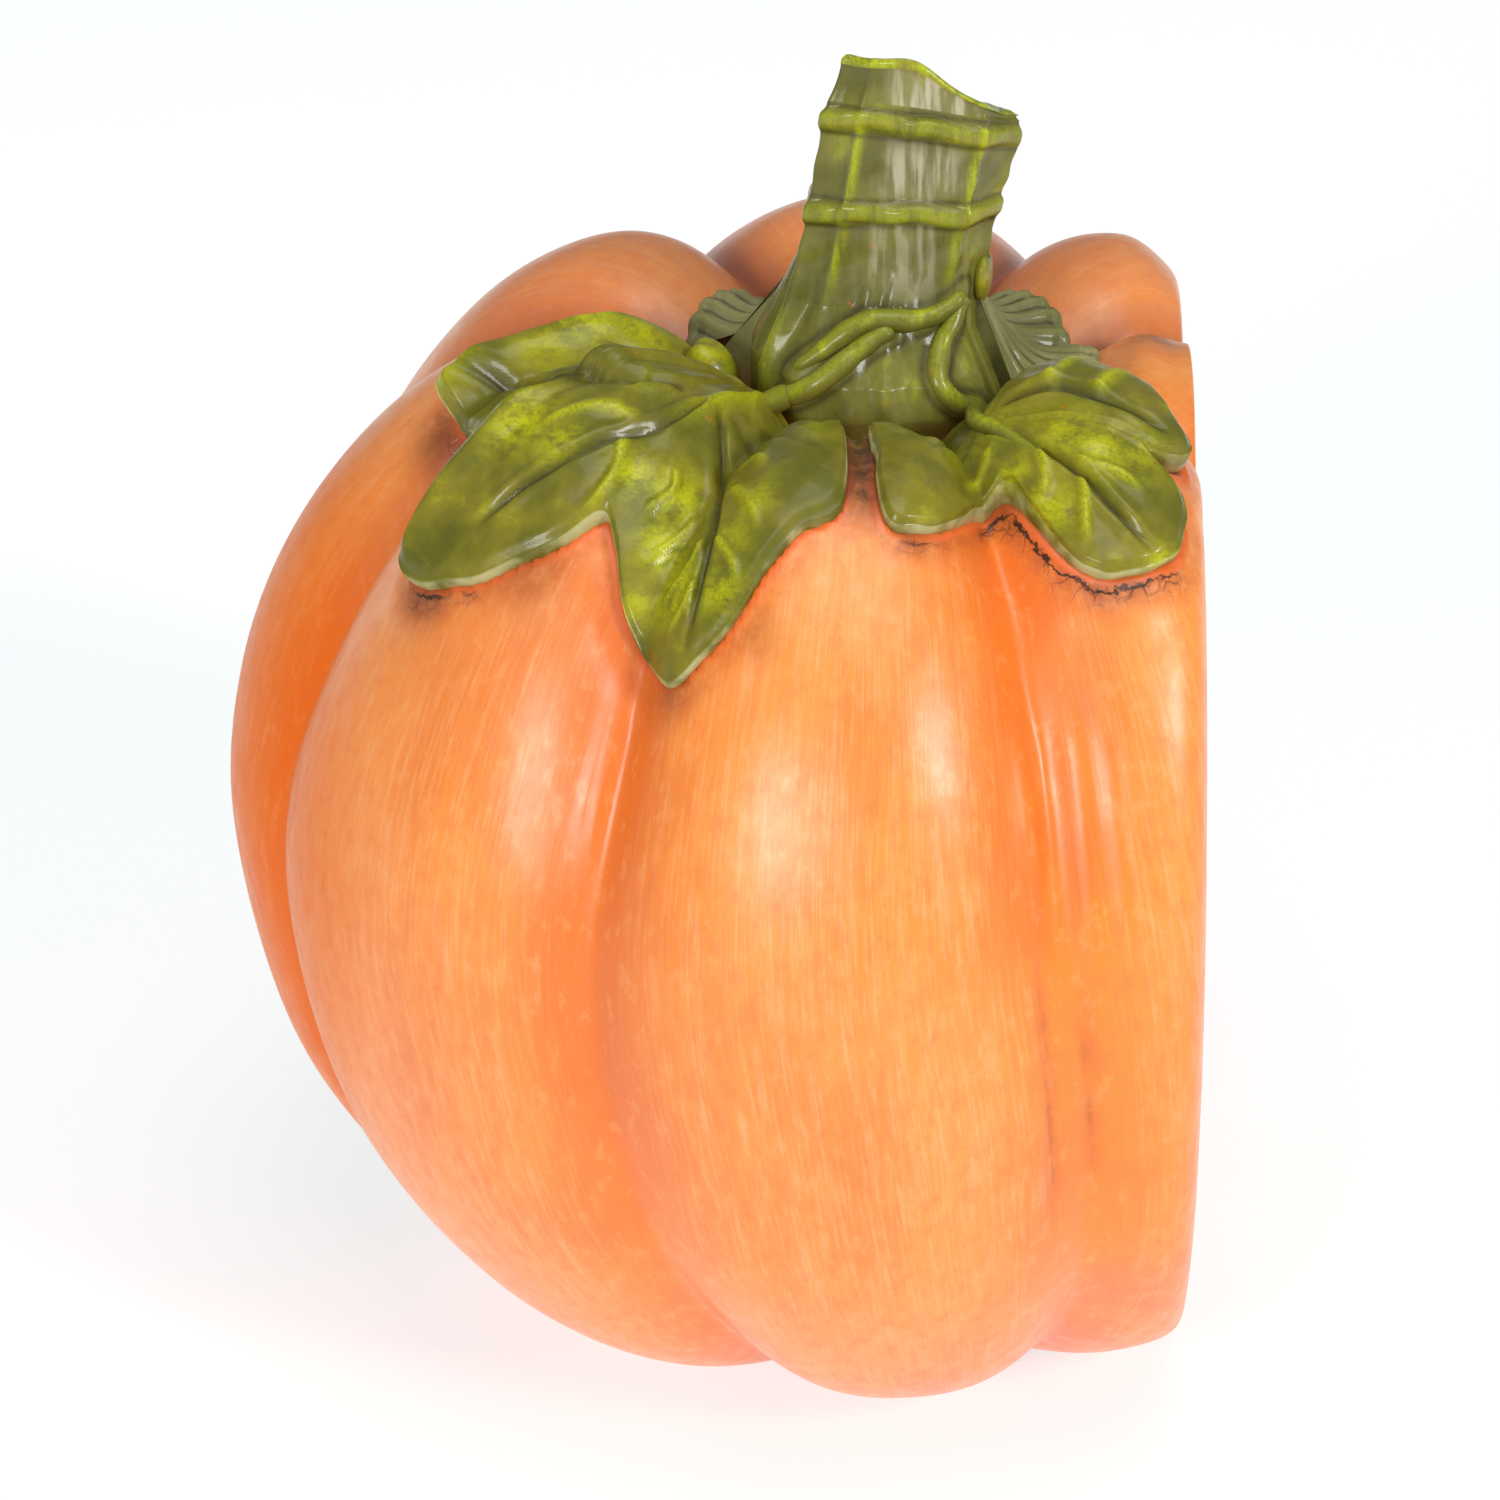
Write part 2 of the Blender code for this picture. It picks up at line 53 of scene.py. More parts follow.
back_rounding = 0.0022
rounding_from = 0.02
middling_radius = 0.130
lobe_twist = 12.0
groove_rounding = 0.008
clay_waver = 0.0004
vent_middle = (0.0, 0.022)
vent_radius = 0.008
vent_lip = 0.0012
vent_depth = 0.009

# side view of a lobe's crest and of a groove, from the hub down to the base: the distance from
# the axis and the height, as shares of the shell's own
crest_line = ((0.000, 0.914), (0.145, 0.914), (0.270, 0.954), (0.415, 1.000), (0.570, 0.996),
              (0.735, 0.927), (0.880, 0.804), (0.978, 0.640), (0.993, 0.484), (0.914, 0.283),
              (0.743, 0.119), (0.571, 0.032), (0.414, 0.000), (0.264, 0.000), (0.000, 0.000))
groove_line = ((0.000, 0.900), (0.130, 0.892), (0.257, 0.909), (0.393, 0.940), (0.535, 0.932),
               (0.686, 0.872), (0.814, 0.745), (0.907, 0.594), (0.921, 0.457), (0.843, 0.283),
               (0.693, 0.155), (0.543, 0.068), (0.414, 0.018), (0.264, 0.000), (0.000, 0.000))
# angle of each groove, lift of the lobe after it, and how softly the groove is rounded
grooves = np.array(((-151.0, 0.002, 0.03), (-108.0, -0.003, 0.02), (-76.0, 0.0, 0.03), (-28.0, 0.0, 0.13),
                    (16.0, 0.0, 0.12), (63.0, 0.0, 0.04), (110.0, 0.0, 0.02), (155.0, 0.001, 0.03)))

# folds in the clay of two grooves: angle, lean, start and end down the side, rise and width
groove_folds = ((-29.7, 0.6, 0.118, 0.178, 0.0017, 1.3), (14.6, -0.8, 0.122, 0.176, 0.0020, 1.5),
                (19.4, -1.2, 0.122, 0.215, 0.0016, 1.3), (22.6, -1.2, 0.128, 0.200, 0.0013, 1.2),
                (13.4, -1.6, 0.178, 0.262, -0.0015, 0.55), (17.2, -1.0, 0.185, 0.250, -0.0008, 0.6))


def along_line(points, t):
    """Catmull-Rom curve: on each span a cubic through its two ends, with slopes set by the
    points on either side. t runs from 0 to 1 over the whole line."""
    p = np.array(points, float)
    spans = len(p) - 1
    q = np.vstack([2 * p[0] - p[1], p, 2 * p[-1] - p[-2]])
    s = np.clip(t, 0.0, 1.0) * spans
    i = np.minimum(s.astype(int), spans - 1)
    f = (s - i)[..., None]
    a, b, c, d = q[i], q[i + 1], q[i + 2], q[i + 3]
    return 0.5 * (2 * b + (c - a) * f + (2 * a - 5 * b + 4 * c - d) * f ** 2
                  + (-a + 3 * b - 3 * c + d) * f ** 3)


def ease(x):
    """Smooth step: 3x squared less 2x cubed, held at 0 and 1."""
    x = np.clip(x, 0.0, 1.0)
    return x * x * (3 - 2 * x)


def swell(psi):
    """How far a point is up its lobe, 0 in a groove and 1 on the crest, with the lobe's lift.
    Each side of the lobe is a power curve, and the groove itself is rounded off."""
    start = np.append(grooves[:, 0], grooves[0, 0] + 360.0)
    soft = np.append(grooves[:, 2], grooves[0, 2])
    a = np.mod(psi - start[0], 360.0) + start[0]
    i = np.clip(np.searchsorted(start, a, side="right") - 1, 0, len(grooves) - 1)
    u = (a - start[i]) / (start[i + 1] - start[i])
    width = soft[i] * (1 - u) + soft[i + 1] * u
    edge = np.minimum(u, 1 - u)
    rounded = np.sqrt(edge ** 2 + width ** 2) - width * (1 - edge * 2) ** 2
    rounded = np.minimum(np.hypot(np.clip(rounded, 0.0, 0.5), groove_rounding), 0.5)
    return (1 - np.abs(1 - 2 * rounded) ** 2.2) ** 0.75, grooves[i, 1]


def lobed_skin(psi, t):
    """The lobed surface: a mix of the groove line and the crest line, turned round the axis.
    Low down the lobes twist a little."""
    crest = along_line(crest_line, t) * (shell_radius, shell_height)
    groove = along_line(groove_line, t) * (shell_radius, shell_height)
    up, lift = swell(psi)
    line = groove + (crest - groove) * up[..., None]
    z = line[..., 1] + lift * up * np.exp(-((t - 0.3) / 0.15) ** 2)
    r = line[..., 0]
    turn = np.radians(psi + lobe_twist * ease((t - 0.45) / 0.45))
    return np.stack([r * np.cos(turn), r * np.sin(turn), z], -1)


profile_t = np.linspace(0, 1, 1601)
profile = along_line(crest_line, profile_t) * (shell_radius, shell_height)
profile_run = np.concatenate([[0], np.cumsum(np.hypot(*np.diff(profile, axis=0).T))])
profile_way = np.gradient(profile, axis=0)
profile_way /= np.linalg.norm(profile_way, axis=1)[:, None]


def closed_grid(name, points):
    """A closed mesh over a grid of points. The last column joins the first, and the first and the
    last row each gather into one point with triangles round it. Also says which points it uses."""
    rows, columns = points.shape[:2]
    index = np.arange(rows * columns).reshape(rows, columns)
    index[0] = index[0, 0]
    index[-1] = index[-1, 0]
    right = np.roll(index, -1, axis=1)
    corners = np.stack([index[:-1], index[1:], right[1:], right[:-1]], -1)
    used, order = np.unique(corners, return_inverse=True)
    order = order.reshape(corners.shape)
    faces = order[0, :, :3].tolist() + order[1:-1].reshape(-1, 4).tolist() + order[-1][:, [0, 1, 3]].tolist()
    mesh = bpy.data.meshes.new(name)
    mesh.from_pydata(points.reshape(-1, 3)[used].tolist(), [], faces)
    mesh.update()
    mesh.shade_smooth()
    made = bpy.data.objects.new(name, mesh)
    bpy.context.scene.collection.objects.link(made)
    return made, used


def paint_layer(piece, name, values, used):
    """One number for each vertex, which the piece's finish reads by name."""
    made = piece.data.attributes.new(name, "FLOAT", "POINT")
    made.data.foreach_set("value", np.asarray(values, np.float32).reshape(-1)[used])


def fold_share(psi, run, fold):
    """How much of a fold shows at a point: a bell curve across it that fades at both its ends."""
    at, lean, first, last, _, width = fold
    middle = at + lean * (run - first) / (last - first)
    shown = ease((run - first) / 0.020) * (1 - ease((run - last + 0.025) / 0.025))
    return np.exp(-((psi - middle) / width) ** 2) * shown


def shell_points(psi, t):
    """The shell's outer face: the lobed skin with ribs in two grooves, a hand-made waver, a
    rounded edge to the flat back and the vent pressed up into the base."""
    p = lobed_skin(psi, t)
    x, y, z = p[..., 0], p[..., 1], p[..., 2]
    run = np.interp(t, profile_t, profile_run)
    swollen = sum(fold[4] * fold_share(psi, run, fold) for fold in groove_folds)
    turn = np.radians(psi)
    waver = (np.sin(3 * turn + 19 * t + 1.0) * np.sin(5 * turn - 13 * t)
             + 0.6 * np.sin(11 * turn + 31 * t + 2.0) * np.sin(23 * t + 0.4))
    grow = 1 + (swollen + clay_waver * waver * ease(t / 0.2) * (1 - ease((t - 0.85) / 0.1))) / middling_radius
    x, y = x * grow, y * grow
    held = back_plane - back_rounding * np.logaddexp(0.0, (back_plane - y) / back_rounding)
    held = np.where(y > rounding_from, held, y)
    x = x * np.where(y > rounding_from, held / np.maximum(y, 1e-6), 1.0)
    near_back = ease((held - (back_plane - 0.016)) / 0.016)
    z = z - 0.0045 * near_back * near_back * ease((z - 0.19) / 0.02)
    hole = np.hypot(x - vent_middle[0], held - vent_middle[1])
    z = z + vent_depth * (1 - ease((hole - vent_radius + vent_lip) / vent_lip)) * (t > 0.85)
    return np.stack([x, held, z], -1)


shell_columns, shell_rows = 520, 184
psi_grid, t_grid = np.meshgrid(-180 + 360 * np.arange(shell_columns) / shell_columns,
                               np.linspace(0, 1, shell_rows), indexing="xy")
shell_grid = shell_points(psi_grid, t_grid)
shell_run = np.interp(t_grid, profile_t, profile_run)
radial = np.stack([np.cos(np.radians(psi_grid)), np.sin(np.radians(psi_grid))], -1)
shell_spread = shell_run[..., None] * radial / mm

# outlines of the two leaves, pressed on later. Each spreads from the place where its strand lands
# and has a row for each direction in degrees: its reach, and the lift of its rim and of its middle
left_landing = (24.0, -33.0)
leaf_rows_left = ((33, 43, 5, 6), (27, 54, 5, 6), (22, 65, 4.5, 7), (19, 70, 4.5, 7), (12, 72, 4.5, 7),
                  (6, 77, 4.5, 7), (1, 84, 4.5, 6), (-5, 92.5, 4.5, 6), (-10, 95.5, 4.5, 6),
                  (-15, 88, 4.5, 6), (-20, 78, 5, 6), (-23, 68, 5, 6), (-27, 61, 6, 6), (-33, 69, 5, 7),
                  (-41, 78, 4.5, 7), (-49, 85, 5, 7), (-57, 89, 6, 7), (-60.5, 86, 8, 9),
                  (-62.5, 72, 9, 10), (-65, 60, 9, 10), (-71, 56, 5, 6), (-81, 59, 7, 7), (-91, 62, 11, 9),
                  (-98, 64, 13, 10), (-102, 59, 12, 11), (-106, 51, 10.5, 11), (-112, 45, 10, 11),
                  (-120, 40, 10, 10), (-136, 31, 9, 9), (-148, 24, 8.5, 8), (-160, 18, 7, 6),
                  (-172, 13, 5, 6), (170, 10, 6, 7), (120, 8, 7, 7), (80, 9, 6, 7), (50, 18, 5, 6))
right_landing = (57.0, 21.0)
leaf_rows_right = ((-78, 25, 5, 5), (-51, 29.5, 4.5, 6), (-37, 37.5, 4.5, 7), (-28, 42, 4.5, 7),
                   (-18, 38, 4.5, 7), (-8, 29, 5, 6), (-2, 23, 6, 6), (8, 20, 8, 6), (15, 19, 9, 6),
                   (20, 20.5, 8, 6), (24, 29, 6, 6), (26.5, 38, 5, 6), (30, 45, 4.5, 6), (35, 49, 4.5, 6),
                   (43, 52, 4.5, 6), (52, 53, 4.5, 6), (60, 50, 4.5, 6), (67, 45, 5, 6), (70, 40, 5, 6),
                   (73, 36.5, 6, 6), (77, 42, 6, 7), (82, 44.5, 7, 7), (88, 43, 7, 7), (97, 41, 8, 9),
                   (111, 41, 9, 11), (124, 44, 9, 11), (139, 46, 9, 11), (151, 44, 8, 9), (166, 34, 5, 7),
                   (185, 23, 6, 6), (215, 20, 6, 6), (245, 22, 6, 6), (265, 24, 5, 5))
leaf_turns = 760
far_from_leaf = 0.05


def round_leaf(table, direction):
    """Reach, rim lift and half-way lift in a direction, from a leaf's rows, with no overshoot:
    a cubic on each span whose slopes vanish at peaks and notches."""
    d = np.vstack([table[-3:] - (360, 0, 0, 0), table, table[:3] + (360, 0, 0, 0)])
    x = d[:, 0]
    y = d[:, 1:]
    h = np.diff(x)[:, None]
    g = np.diff(y, axis=0) / h
    w1 = 2 * h[1:] + h[:-1]
    w2 = h[1:] + 2 * h[:-1]
    same = g[:-1] * g[1:] > 0
    before, after = np.where(same, g[:-1], 1), np.where(same, g[1:], 1)
    safe = np.where(same, (w1 + w2) / (w1 / before + w2 / after), 0.0)
    m = np.vstack([g[:1], safe, g[-1:]])
    a = np.mod(direction - table[0, 0], 360.0) + table[0, 0]
    i = np.clip(np.searchsorted(x, a, side="right") - 1, 0, len(x) - 2)
    s = ((a - x[i]) / h[i, 0])[..., None]
    hi = h[i]
    return (y[i] * (1 + 2 * s) * (1 - s) ** 2 + hi * m[i] * s * (1 - s) ** 2
            + y[i + 1] * s * s * (3 - 2 * s) + hi * m[i + 1] * s * s * (s - 1))


def leaf_outline(rows):
    """A leaf's directions, its reach with the small waver of a hand-held knife, a sum of two sine
    waves, and the lifts of its rim and of its middle."""
    table = np.array(sorted(rows), float)
    direction = table[0, 0] + 360.0 * np.arange(leaf_turns) / leaf_turns
    reach, rim, middle = np.moveaxis(round_leaf(table, direction), -1, 0)
    a = np.radians(direction)
    return a, reach * (1 + 0.004 * np.sin(a * 23 + 1.0) + 0.003 * np.sin(a * 41 + 2.0)), rim, middle


def spots(along, across, places):
    """The strongest of a few soft round spots, each a bell curve: place, radius and strength."""
    found = np.zeros(np.shape(along))
    for x0, y0, radius, strength in places:
        away = (along - x0) ** 2 + (across - y0) ** 2
        found = np.maximum(found, strength * np.exp(-away / radius ** 2))
    return found


def near_outline(outline):
    """Keeps, for each point of the shell, its distance to a leaf's outline, less than 0 inside."""
    spread = shell_spread.reshape(-1, 2)
    ring = outline[::4]
    margin = 22
    near = np.where(np.all((spread > ring.min(0) - margin) & (spread < ring.max(0) + margin), axis=1))[0]
    p = spread[near]
    best = np.full(len(p), 1e9)
    crossings = np.zeros(len(p), int)
    for start, end in zip(ring, np.roll(ring, -1, axis=0)):
        edge = end - start
        f = np.clip(((p - start) @ edge) / max((edge ** 2).sum(), 1e-9), 0, 1)
        best = np.minimum(best, np.hypot(*(p - start - f[:, None] * edge).T))
        passed = (start[1] > p[:, 1]) != (end[1] > p[:, 1])
        slope = edge[0] / (edge[1] if abs(edge[1]) > 1e-9 else 1e-9)
        crossings += passed & (p[:, 0] < start[0] + (p[:, 1] - start[1]) * slope)
    found = np.full(len(spread), far_from_leaf)
    found[near] = np.where(crossings % 2 == 1, -best, best) * mm
    return found.reshape(shell_run.shape)


left_outline = leaf_outline(leaf_rows_left)
right_outline = leaf_outline(leaf_rows_right)
leaf_edge = np.full(psi_grid.shape, far_from_leaf)
for landing, (a, reach, _, _) in ((left_landing, left_outline), (right_landing, right_outline)):
    outline = landing + reach[:, None] * np.stack([np.cos(a), np.sin(a)], -1)
    leaf_edge = np.minimum(leaf_edge, near_outline(outline))

# the clay pushed up along the leaves: a sharp lip at the edge and a soft swelling beside it
lip = 0.0014 * np.exp(-((leaf_edge - 0.0009) / 0.0012) ** 2)
lip = lip + 0.0009 * np.exp(-((leaf_edge - 0.006) / 0.005) ** 2)
lip = np.where(t_grid < 0.55, lip, 0.0)
way_r = -np.interp(t_grid, profile_t, profile_way[:, 1])
way_z = np.interp(t_grid, profile_t, profile_way[:, 0])
shell_grid[..., 0] += lip * way_r * radial[..., 0]
shell_grid[..., 1] = np.minimum(shell_grid[..., 1] + lip * way_r * radial[..., 1], back_plane)
shell_grid[..., 2] += lip * way_z
shell, used = closed_grid("shell", shell_grid)
paint_layer(shell, "swell", swell(psi_grid)[0], used)
# where the glaze crazed along the leaves, and painted shade in dark brown spots between the leaves, round the
# hub and beside some leaf edges
cracked = spots(shell_spread[..., 0], shell_spread[..., 1], (
    (94, 6, 6, 0.8), (90, 14, 5, 0.5), (81, 25, 6, 0.9), (84, 31, 5, 1.0), (90, 36, 6, 1.0), (97, 41, 6, 1.0),
    (100, 48, 7, 1.0), (99, 56, 7, 1.0), (95, 63, 5, 0.9), (16, -105, 6, 0.9), (22, -104, 5, 0.8),
    (76, -105, 7, 1.0), (83, -95, 5, 0.6), (17, 66, 6, 0.9), (24, 69, 6, 0.9), (34, 67, 5, 0.8)))
paint_layer(shell, "cracked", cracked, used)
sooty = spots(shell_spread[..., 0], shell_spread[..., 1], (
    (62, -6, 12, 1.0), (70, -6, 11, 1.0), (77, -5, 9, 1.0), (84, -5, 7, 0.9), (94, 5, 5, 0.5),
    (77, 27, 4, 0.6), (119, -50, 7, 0.4), (76, -106, 8, 0.6), (86, -80, 9, 0.35), (18, -104, 7, 0.6),
    (-4, 63, 7, 0.6), (96, 50, 8, 0.4), (116, -28, 6, 0.3), (-8, -52, 12, 0.55), (-46, -22, 12, 0.45),
    (-48, 18, 11, 0.35), (-20, 52, 10, 0.5), (14, -64, 8, 0.4)))
paint_layer(shell, "sooty", sooty, used)
# painted shade: dark brown along the sunk creases among the folds
stained = sum(fold_share(psi_grid, shell_run, fold) for fold in groove_folds if fold[4] < 0)
paint_layer(shell, "stained", np.clip(stained, 0, 1), used)
paint_layer(shell, "leaf_edge", leaf_edge, used)
# painted shade on the lobes behind and high up, darker in their hollows; the far left lobe is painted a
# deeper orange with little varnish
behind = ease((0.02 - shell_grid[..., 0]) / 0.07) + 0.45 * ease((-0.03 - shell_grid[..., 1]) / 0.06)
paint_layer(shell, "dusk", np.clip(behind, 0, 1) * ease((shell_grid[..., 2] - 0.150) / 0.050), used)
paint_layer(shell, "deep", ease((-0.098 - shell_grid[..., 1]) / 0.024), used)
# brush strokes run down the lobes: round a drum of middling radius, and down by the run
brush = shell.data.attributes.new("brush", "FLOAT_VECTOR", "POINT")
strokes = np.concatenate([middling_radius * radial, shell_run[..., None]], -1).reshape(-1, 3)[used]
brush.data.foreach_set("vector", strokes.astype(np.float32).reshape(-1))


def new_finish(name):
    """A new finish with its shader, and a short way to add nodes: step(kind, settings, links)."""
    made = bpy.data.materials.new(name)
    made.use_nodes = True
    tree = made.node_tree
    shader = tree.nodes["Principled BSDF"]

    def step(kind, settings=(), **links):
        node = tree.nodes.new(kind)
        for key, value in dict(settings).items():
            setattr(node, key, value)
        for key, value in links.items():
            socket = node.inputs[int(key[1:])] if key[0] == "_" else node.inputs[key]
            if isinstance(value, bpy.types.NodeSocket):
                tree.links.new(value, socket)
            else:
                socket.default_value = value
        return node

    return made, tree, shader, step


def colour_of(red, green, blue):
    """A paint's colour as a screen shows it, 0 to 255, turned into light."""
    c = np.array([red, green, blue]) / 255.0
    c = np.where(c <= 0.04045, c / 12.92, ((c + 0.055) / 1.055) ** 2.4)
    return (float(c[0]), float(c[1]), float(c[2]), 1.0)


def noise(step, vector, scale, detail=3.0, rough=0.55, seed=(0, 0, 0)):
    """Noise drawn out by a different amount along each axis."""
    place = step("ShaderNodeMapping", Vector=vector, Scale=scale, Location=seed)
    return step("ShaderNodeTexNoise", Vector=place.outputs[0], Scale=1.0, Detail=detail,
                Roughness=rough).outputs[0]


def between(step, value, low, high, to_low=0.0, to_high=1.0):
    """Smoothly maps low..high to to_low..to_high."""
    return step("ShaderNodeMapRange", {"interpolation_type": "SMOOTHSTEP"}, _0=value, _1=low, _2=high,
                _3=to_low, _4=to_high).outputs[0]


def combine(step, how, a, b=0.0):
    """One sum on two numbers: ADD, MAXIMUM and so on."""
    return step("ShaderNodeMath", {"operation": how}, _0=a, _1=b).outputs[0]


def times(step, a, b):
    """Two numbers multiplied."""
    return combine(step, "MULTIPLY", a, b)


def over(step, under, top, amount):
    """Lays one colour over another by an amount."""
    return step("ShaderNodeMix", {"data_type": "RGBA"}, _0=amount, _6=under, _7=top).outputs[2]


def layer(step, name, what="Fac"):
    """Reads one of the piece's paint layers."""
    return step("ShaderNodeAttribute", {"attribute_name": name}).outputs[what]


# Orange finish: a strong orange ground, peach dry-brushed down the lobes, painted shade in browns in the
# hollows, along sunk creases and round the leaves, crazing beside the leaves, and a satin varnish over it
# all.
orange, tree, shader, step = new_finish("orange_paint")
stroke_at = layer(step, "brush", "Vector")
object_at = step("ShaderNodeTexCoord").outputs["Object"]
up = layer(step, "swell")
edge = layer(step, "leaf_edge")
dusk = layer(step, "dusk")
deep = layer(step, "deep")
cracked_here = layer(step, "cracked")
bristle = noise(step, stroke_at, (1500, 1500, 60), 4.0, 0.65)
stroke = noise(step, stroke_at, (420, 420, 48), 4.0, 0.65, (3, 1, 7))
broken = noise(step, stroke_at, (260, 260, 34), 3.0, 0.6, (9, 2, 4))
patch = noise(step, object_at, (24, 24, 13), 3.0, 0.6, (2, 5, 1))
mottle = noise(step, object_at, (260, 260, 150), 4.0, 0.65, (7, 3, 2))
speck = noise(step, object_at, (1300, 1300, 1300), 2.0, 0.6)
rub = noise(step, object_at, (190, 190, 190), 5.0, 0.65)
dry = times(step, between(step, bristle, 0.44, 0.64), between(step, stroke, 0.36, 0.62, 0.25, 1.0))
dry = times(step, dry, between(step, up, 0.1, 0.8, 0.12, 1.0))
wash = times(step, between(step, up, 0.25, 0.95), between(step, patch, 0.30, 0.66, 0.35, 0.80))
broad = times(step, between(step, stroke, 0.50, 0.66), between(step, up, 0.2, 0.9, 0.0, 0.20))
back_shade_mottled = times(step, dusk, between(step, broken, 0.30, 0.70, 0.45, 1.0))
shade_near_leaf = times(step, between(step, edge, 0.0120, 0.0010), between(step, rub, 0.35, 0.68, 0.12, 0.62))
spot_shade = times(step, layer(step, "sooty"), between(step, rub, 0.28, 0.60, 0.62, 1.0))
lip_band = times(step, between(step, edge, -0.0015, 0.0003), between(step, edge, 0.0026, 0.0012))
band = times(step, between(step, edge, 0.0012, 0.0022), between(step, edge, 0.0078, 0.0034))
zone = times(step, band, cracked_here)
# crazing: the edges of warped cells, and one wavy crack that keeps 2.4 mm off the leaf
wander = step("ShaderNodeTexNoise", Vector=object_at, Scale=170.0, Detail=3.0).outputs[1]
warp = step("ShaderNodeVectorMath", {"operation": "MULTIPLY_ADD"}, _0=wander, _1=(0.006, 0.006, 0.006),
            _2=object_at).outputs[0]
craze = step("ShaderNodeTexVoronoi", {"feature": "DISTANCE_TO_EDGE"}, Vector=warp, Scale=230.0).outputs[0]
craze_line = between(step, craze, 0.055, 0.015)
crazing = times(step, craze_line, zone)
ragged = combine(step, "SUBTRACT", noise(step, object_at, (210, 210, 210), 5.0, 0.7, (4, 4, 4)), 0.5)
wavy = combine(step, "ADD", edge, times(step, ragged, 0.0062))
deep_line = combine(step, "ABSOLUTE", combine(step, "SUBTRACT", wavy, 0.0024))
deep_line = between(step, deep_line, 0.00050, 0.00015)
# the colours in the order they are laid, paint and painted shade alike: each colour, and how much of it
# covers what is under it
painted = over(step, colour_of(234, 116, 30), colour_of(246, 134, 36), between(step, patch, 0.38, 0.62))
for laid_colour, amount in (
        ((248, 154, 70), wash),
        ((253, 190, 132), times(step, dry, 0.31)),
        ((250, 172, 112), broad),
        ((232, 118, 54), times(step, between(step, mottle, 0.50, 0.66), 0.34)),
        ((252, 188, 130), times(step, between(step, mottle, 0.46, 0.34), 0.18)),
        ((196, 92, 44), times(step, between(step, speck, 0.66, 0.78), 0.30)),
        # painted shade, duskier on the lobes behind and high up
        ((206, 132, 100), times(step, back_shade_mottled, 0.45)),
        # painted shade, dark brown in the hollows of the lobes behind
        ((138, 78, 56), times(step, dusk, between(step, up, 0.80, 0.10, 0.0, 0.75))),
        ((224, 100, 22), times(step, deep, 0.50)),
        # painted shade, darker orange beside the leaves' edges
        ((206, 92, 40), shade_near_leaf),
        # painted shade along the sunk creases
        ((164, 80, 40), times(step, layer(step, "stained"), between(step, rub, 0.30, 0.66, 0.20, 0.62))),
        ((244, 112, 48), times(step, lip_band, 0.80)),
        ((158, 74, 38), times(step, zone, between(step, rub, 0.3, 0.7, 0.25, 0.7))),
        ((96, 44, 24), times(step, crazing, between(step, rub, 0.35, 0.6, 0.10, 0.55))),
        ((52, 26, 18), times(step, deep_line, between(step, cracked_here, 0.35, 0.8, 0.0, 0.95))),
        # painted shade in dark brown spots between the leaves and round the hub
        ((48, 27, 20), times(step, spot_shade, 0.98)),
        # painted shade, dark brown under the leaves inside their outlines
        ((112, 52, 28), between(step, edge, 0.0002, -0.0016, 0.0, 0.92))):
    painted = over(step, painted, colour_of(*laid_colour), amount)
tree.links.new(painted, shader.inputs["Base Color"])
tree.links.new(between(step, mottle, 0.3, 0.7, 0.30, 0.40), shader.inputs["Roughness"])
tree.links.new(between(step, deep, 0.0, 1.0, 0.46, 0.14), shader.inputs["Specular IOR Level"])
tree.links.new(between(step, deep, 0.0, 1.0, 0.34, 0.0), shader.inputs["Coat Weight"])
shader.inputs["Coat Roughness"].default_value = 0.28
relief = step("ShaderNodeBump", Strength=0.22, Distance=0.0003, Height=bristle).outputs[0]
relief = step("ShaderNodeBump", Strength=0.30, Distance=0.0010, Normal=relief,
              Height=noise(step, object_at, (85, 85, 60), 3.0, 0.5, (6, 6, 2))).outputs[0]
cracks = step("ShaderNodeBump", Strength=0.8, Distance=0.0006, Normal=relief,
              Height=combine(step, "SUBTRACT", 1.0, craze_line)).outputs[0]
crazed = step("ShaderNodeMix", {"data_type": "VECTOR"}, _0=zone, _4=relief, _5=cracks)
tree.links.new(crazed.outputs[1], shader.inputs["Normal"])
shell.data.materials.append(orange)
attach(shell, "root")
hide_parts("body_shell")


# ---- Leaves ----------------------------------------------------------------------------------
# Two leaves rolled from a clay slab, pressed over the shoulders while soft and luted down.
# Each spreads from the point where its strand lands; the shell's clay swells along its edge.
leaf_rings = 84
least_lift = 1.6
sunk_under = 0.0015


def draped(along, across, lift):
    """A point above the skin. along and across unroll the top from its hub, along over the +X
    side and across over the +Y side. lift is measured square to the crest line."""
    s = np.hypot(along, across)
    psi = np.degrees(np.arctan2(across, along))
    p = lobed_skin(psi, np.interp(s, profile_run, profile_t))
    nr = -np.interp(s, profile_run, profile_way[:, 1])
    nz = np.interp(s, profile_run, profile_way[:, 0])
    k = lift / np.hypot(nr, nz)
    turn = np.radians(psi)
    return p + np.stack([k * nr * np.cos(turn), k * nr * np.sin(turn), k * nz], -1)


def vein_distance(along, across, path):
    """Distance from a point to a vein drawn as a chain of straight pieces, and how far along
    the vein the nearest point is, 0 to 1."""
    best = np.full(along.shape, 1e9)
    where = np.zeros(along.shape)
    lengths = [math.dist(p, q) for p, q in zip(path, path[1:])]
    total = sum(lengths)
    done = 0.0
    for (x0, y0), (x1, y1), length in zip(path, path[1:], lengths):
        f = ((along - x0) * (x1 - x0) + (across - y0) * (y1 - y0)) / length ** 2
        f = np.clip(f, 0, 1)
        gap = np.hypot(along - x0 - f * (x1 - x0), across - y0 - f * (y1 - y0))
        where = np.where(gap < best, (done + f * length) / total, where)
        best = np.minimum(best, gap)
        done += length
    return best, where


def curved(path, count=24):
    """A vein's few points joined by a smooth curve."""
    return [tuple(p) for p in along_line(path, np.linspace(0, 1, count))]


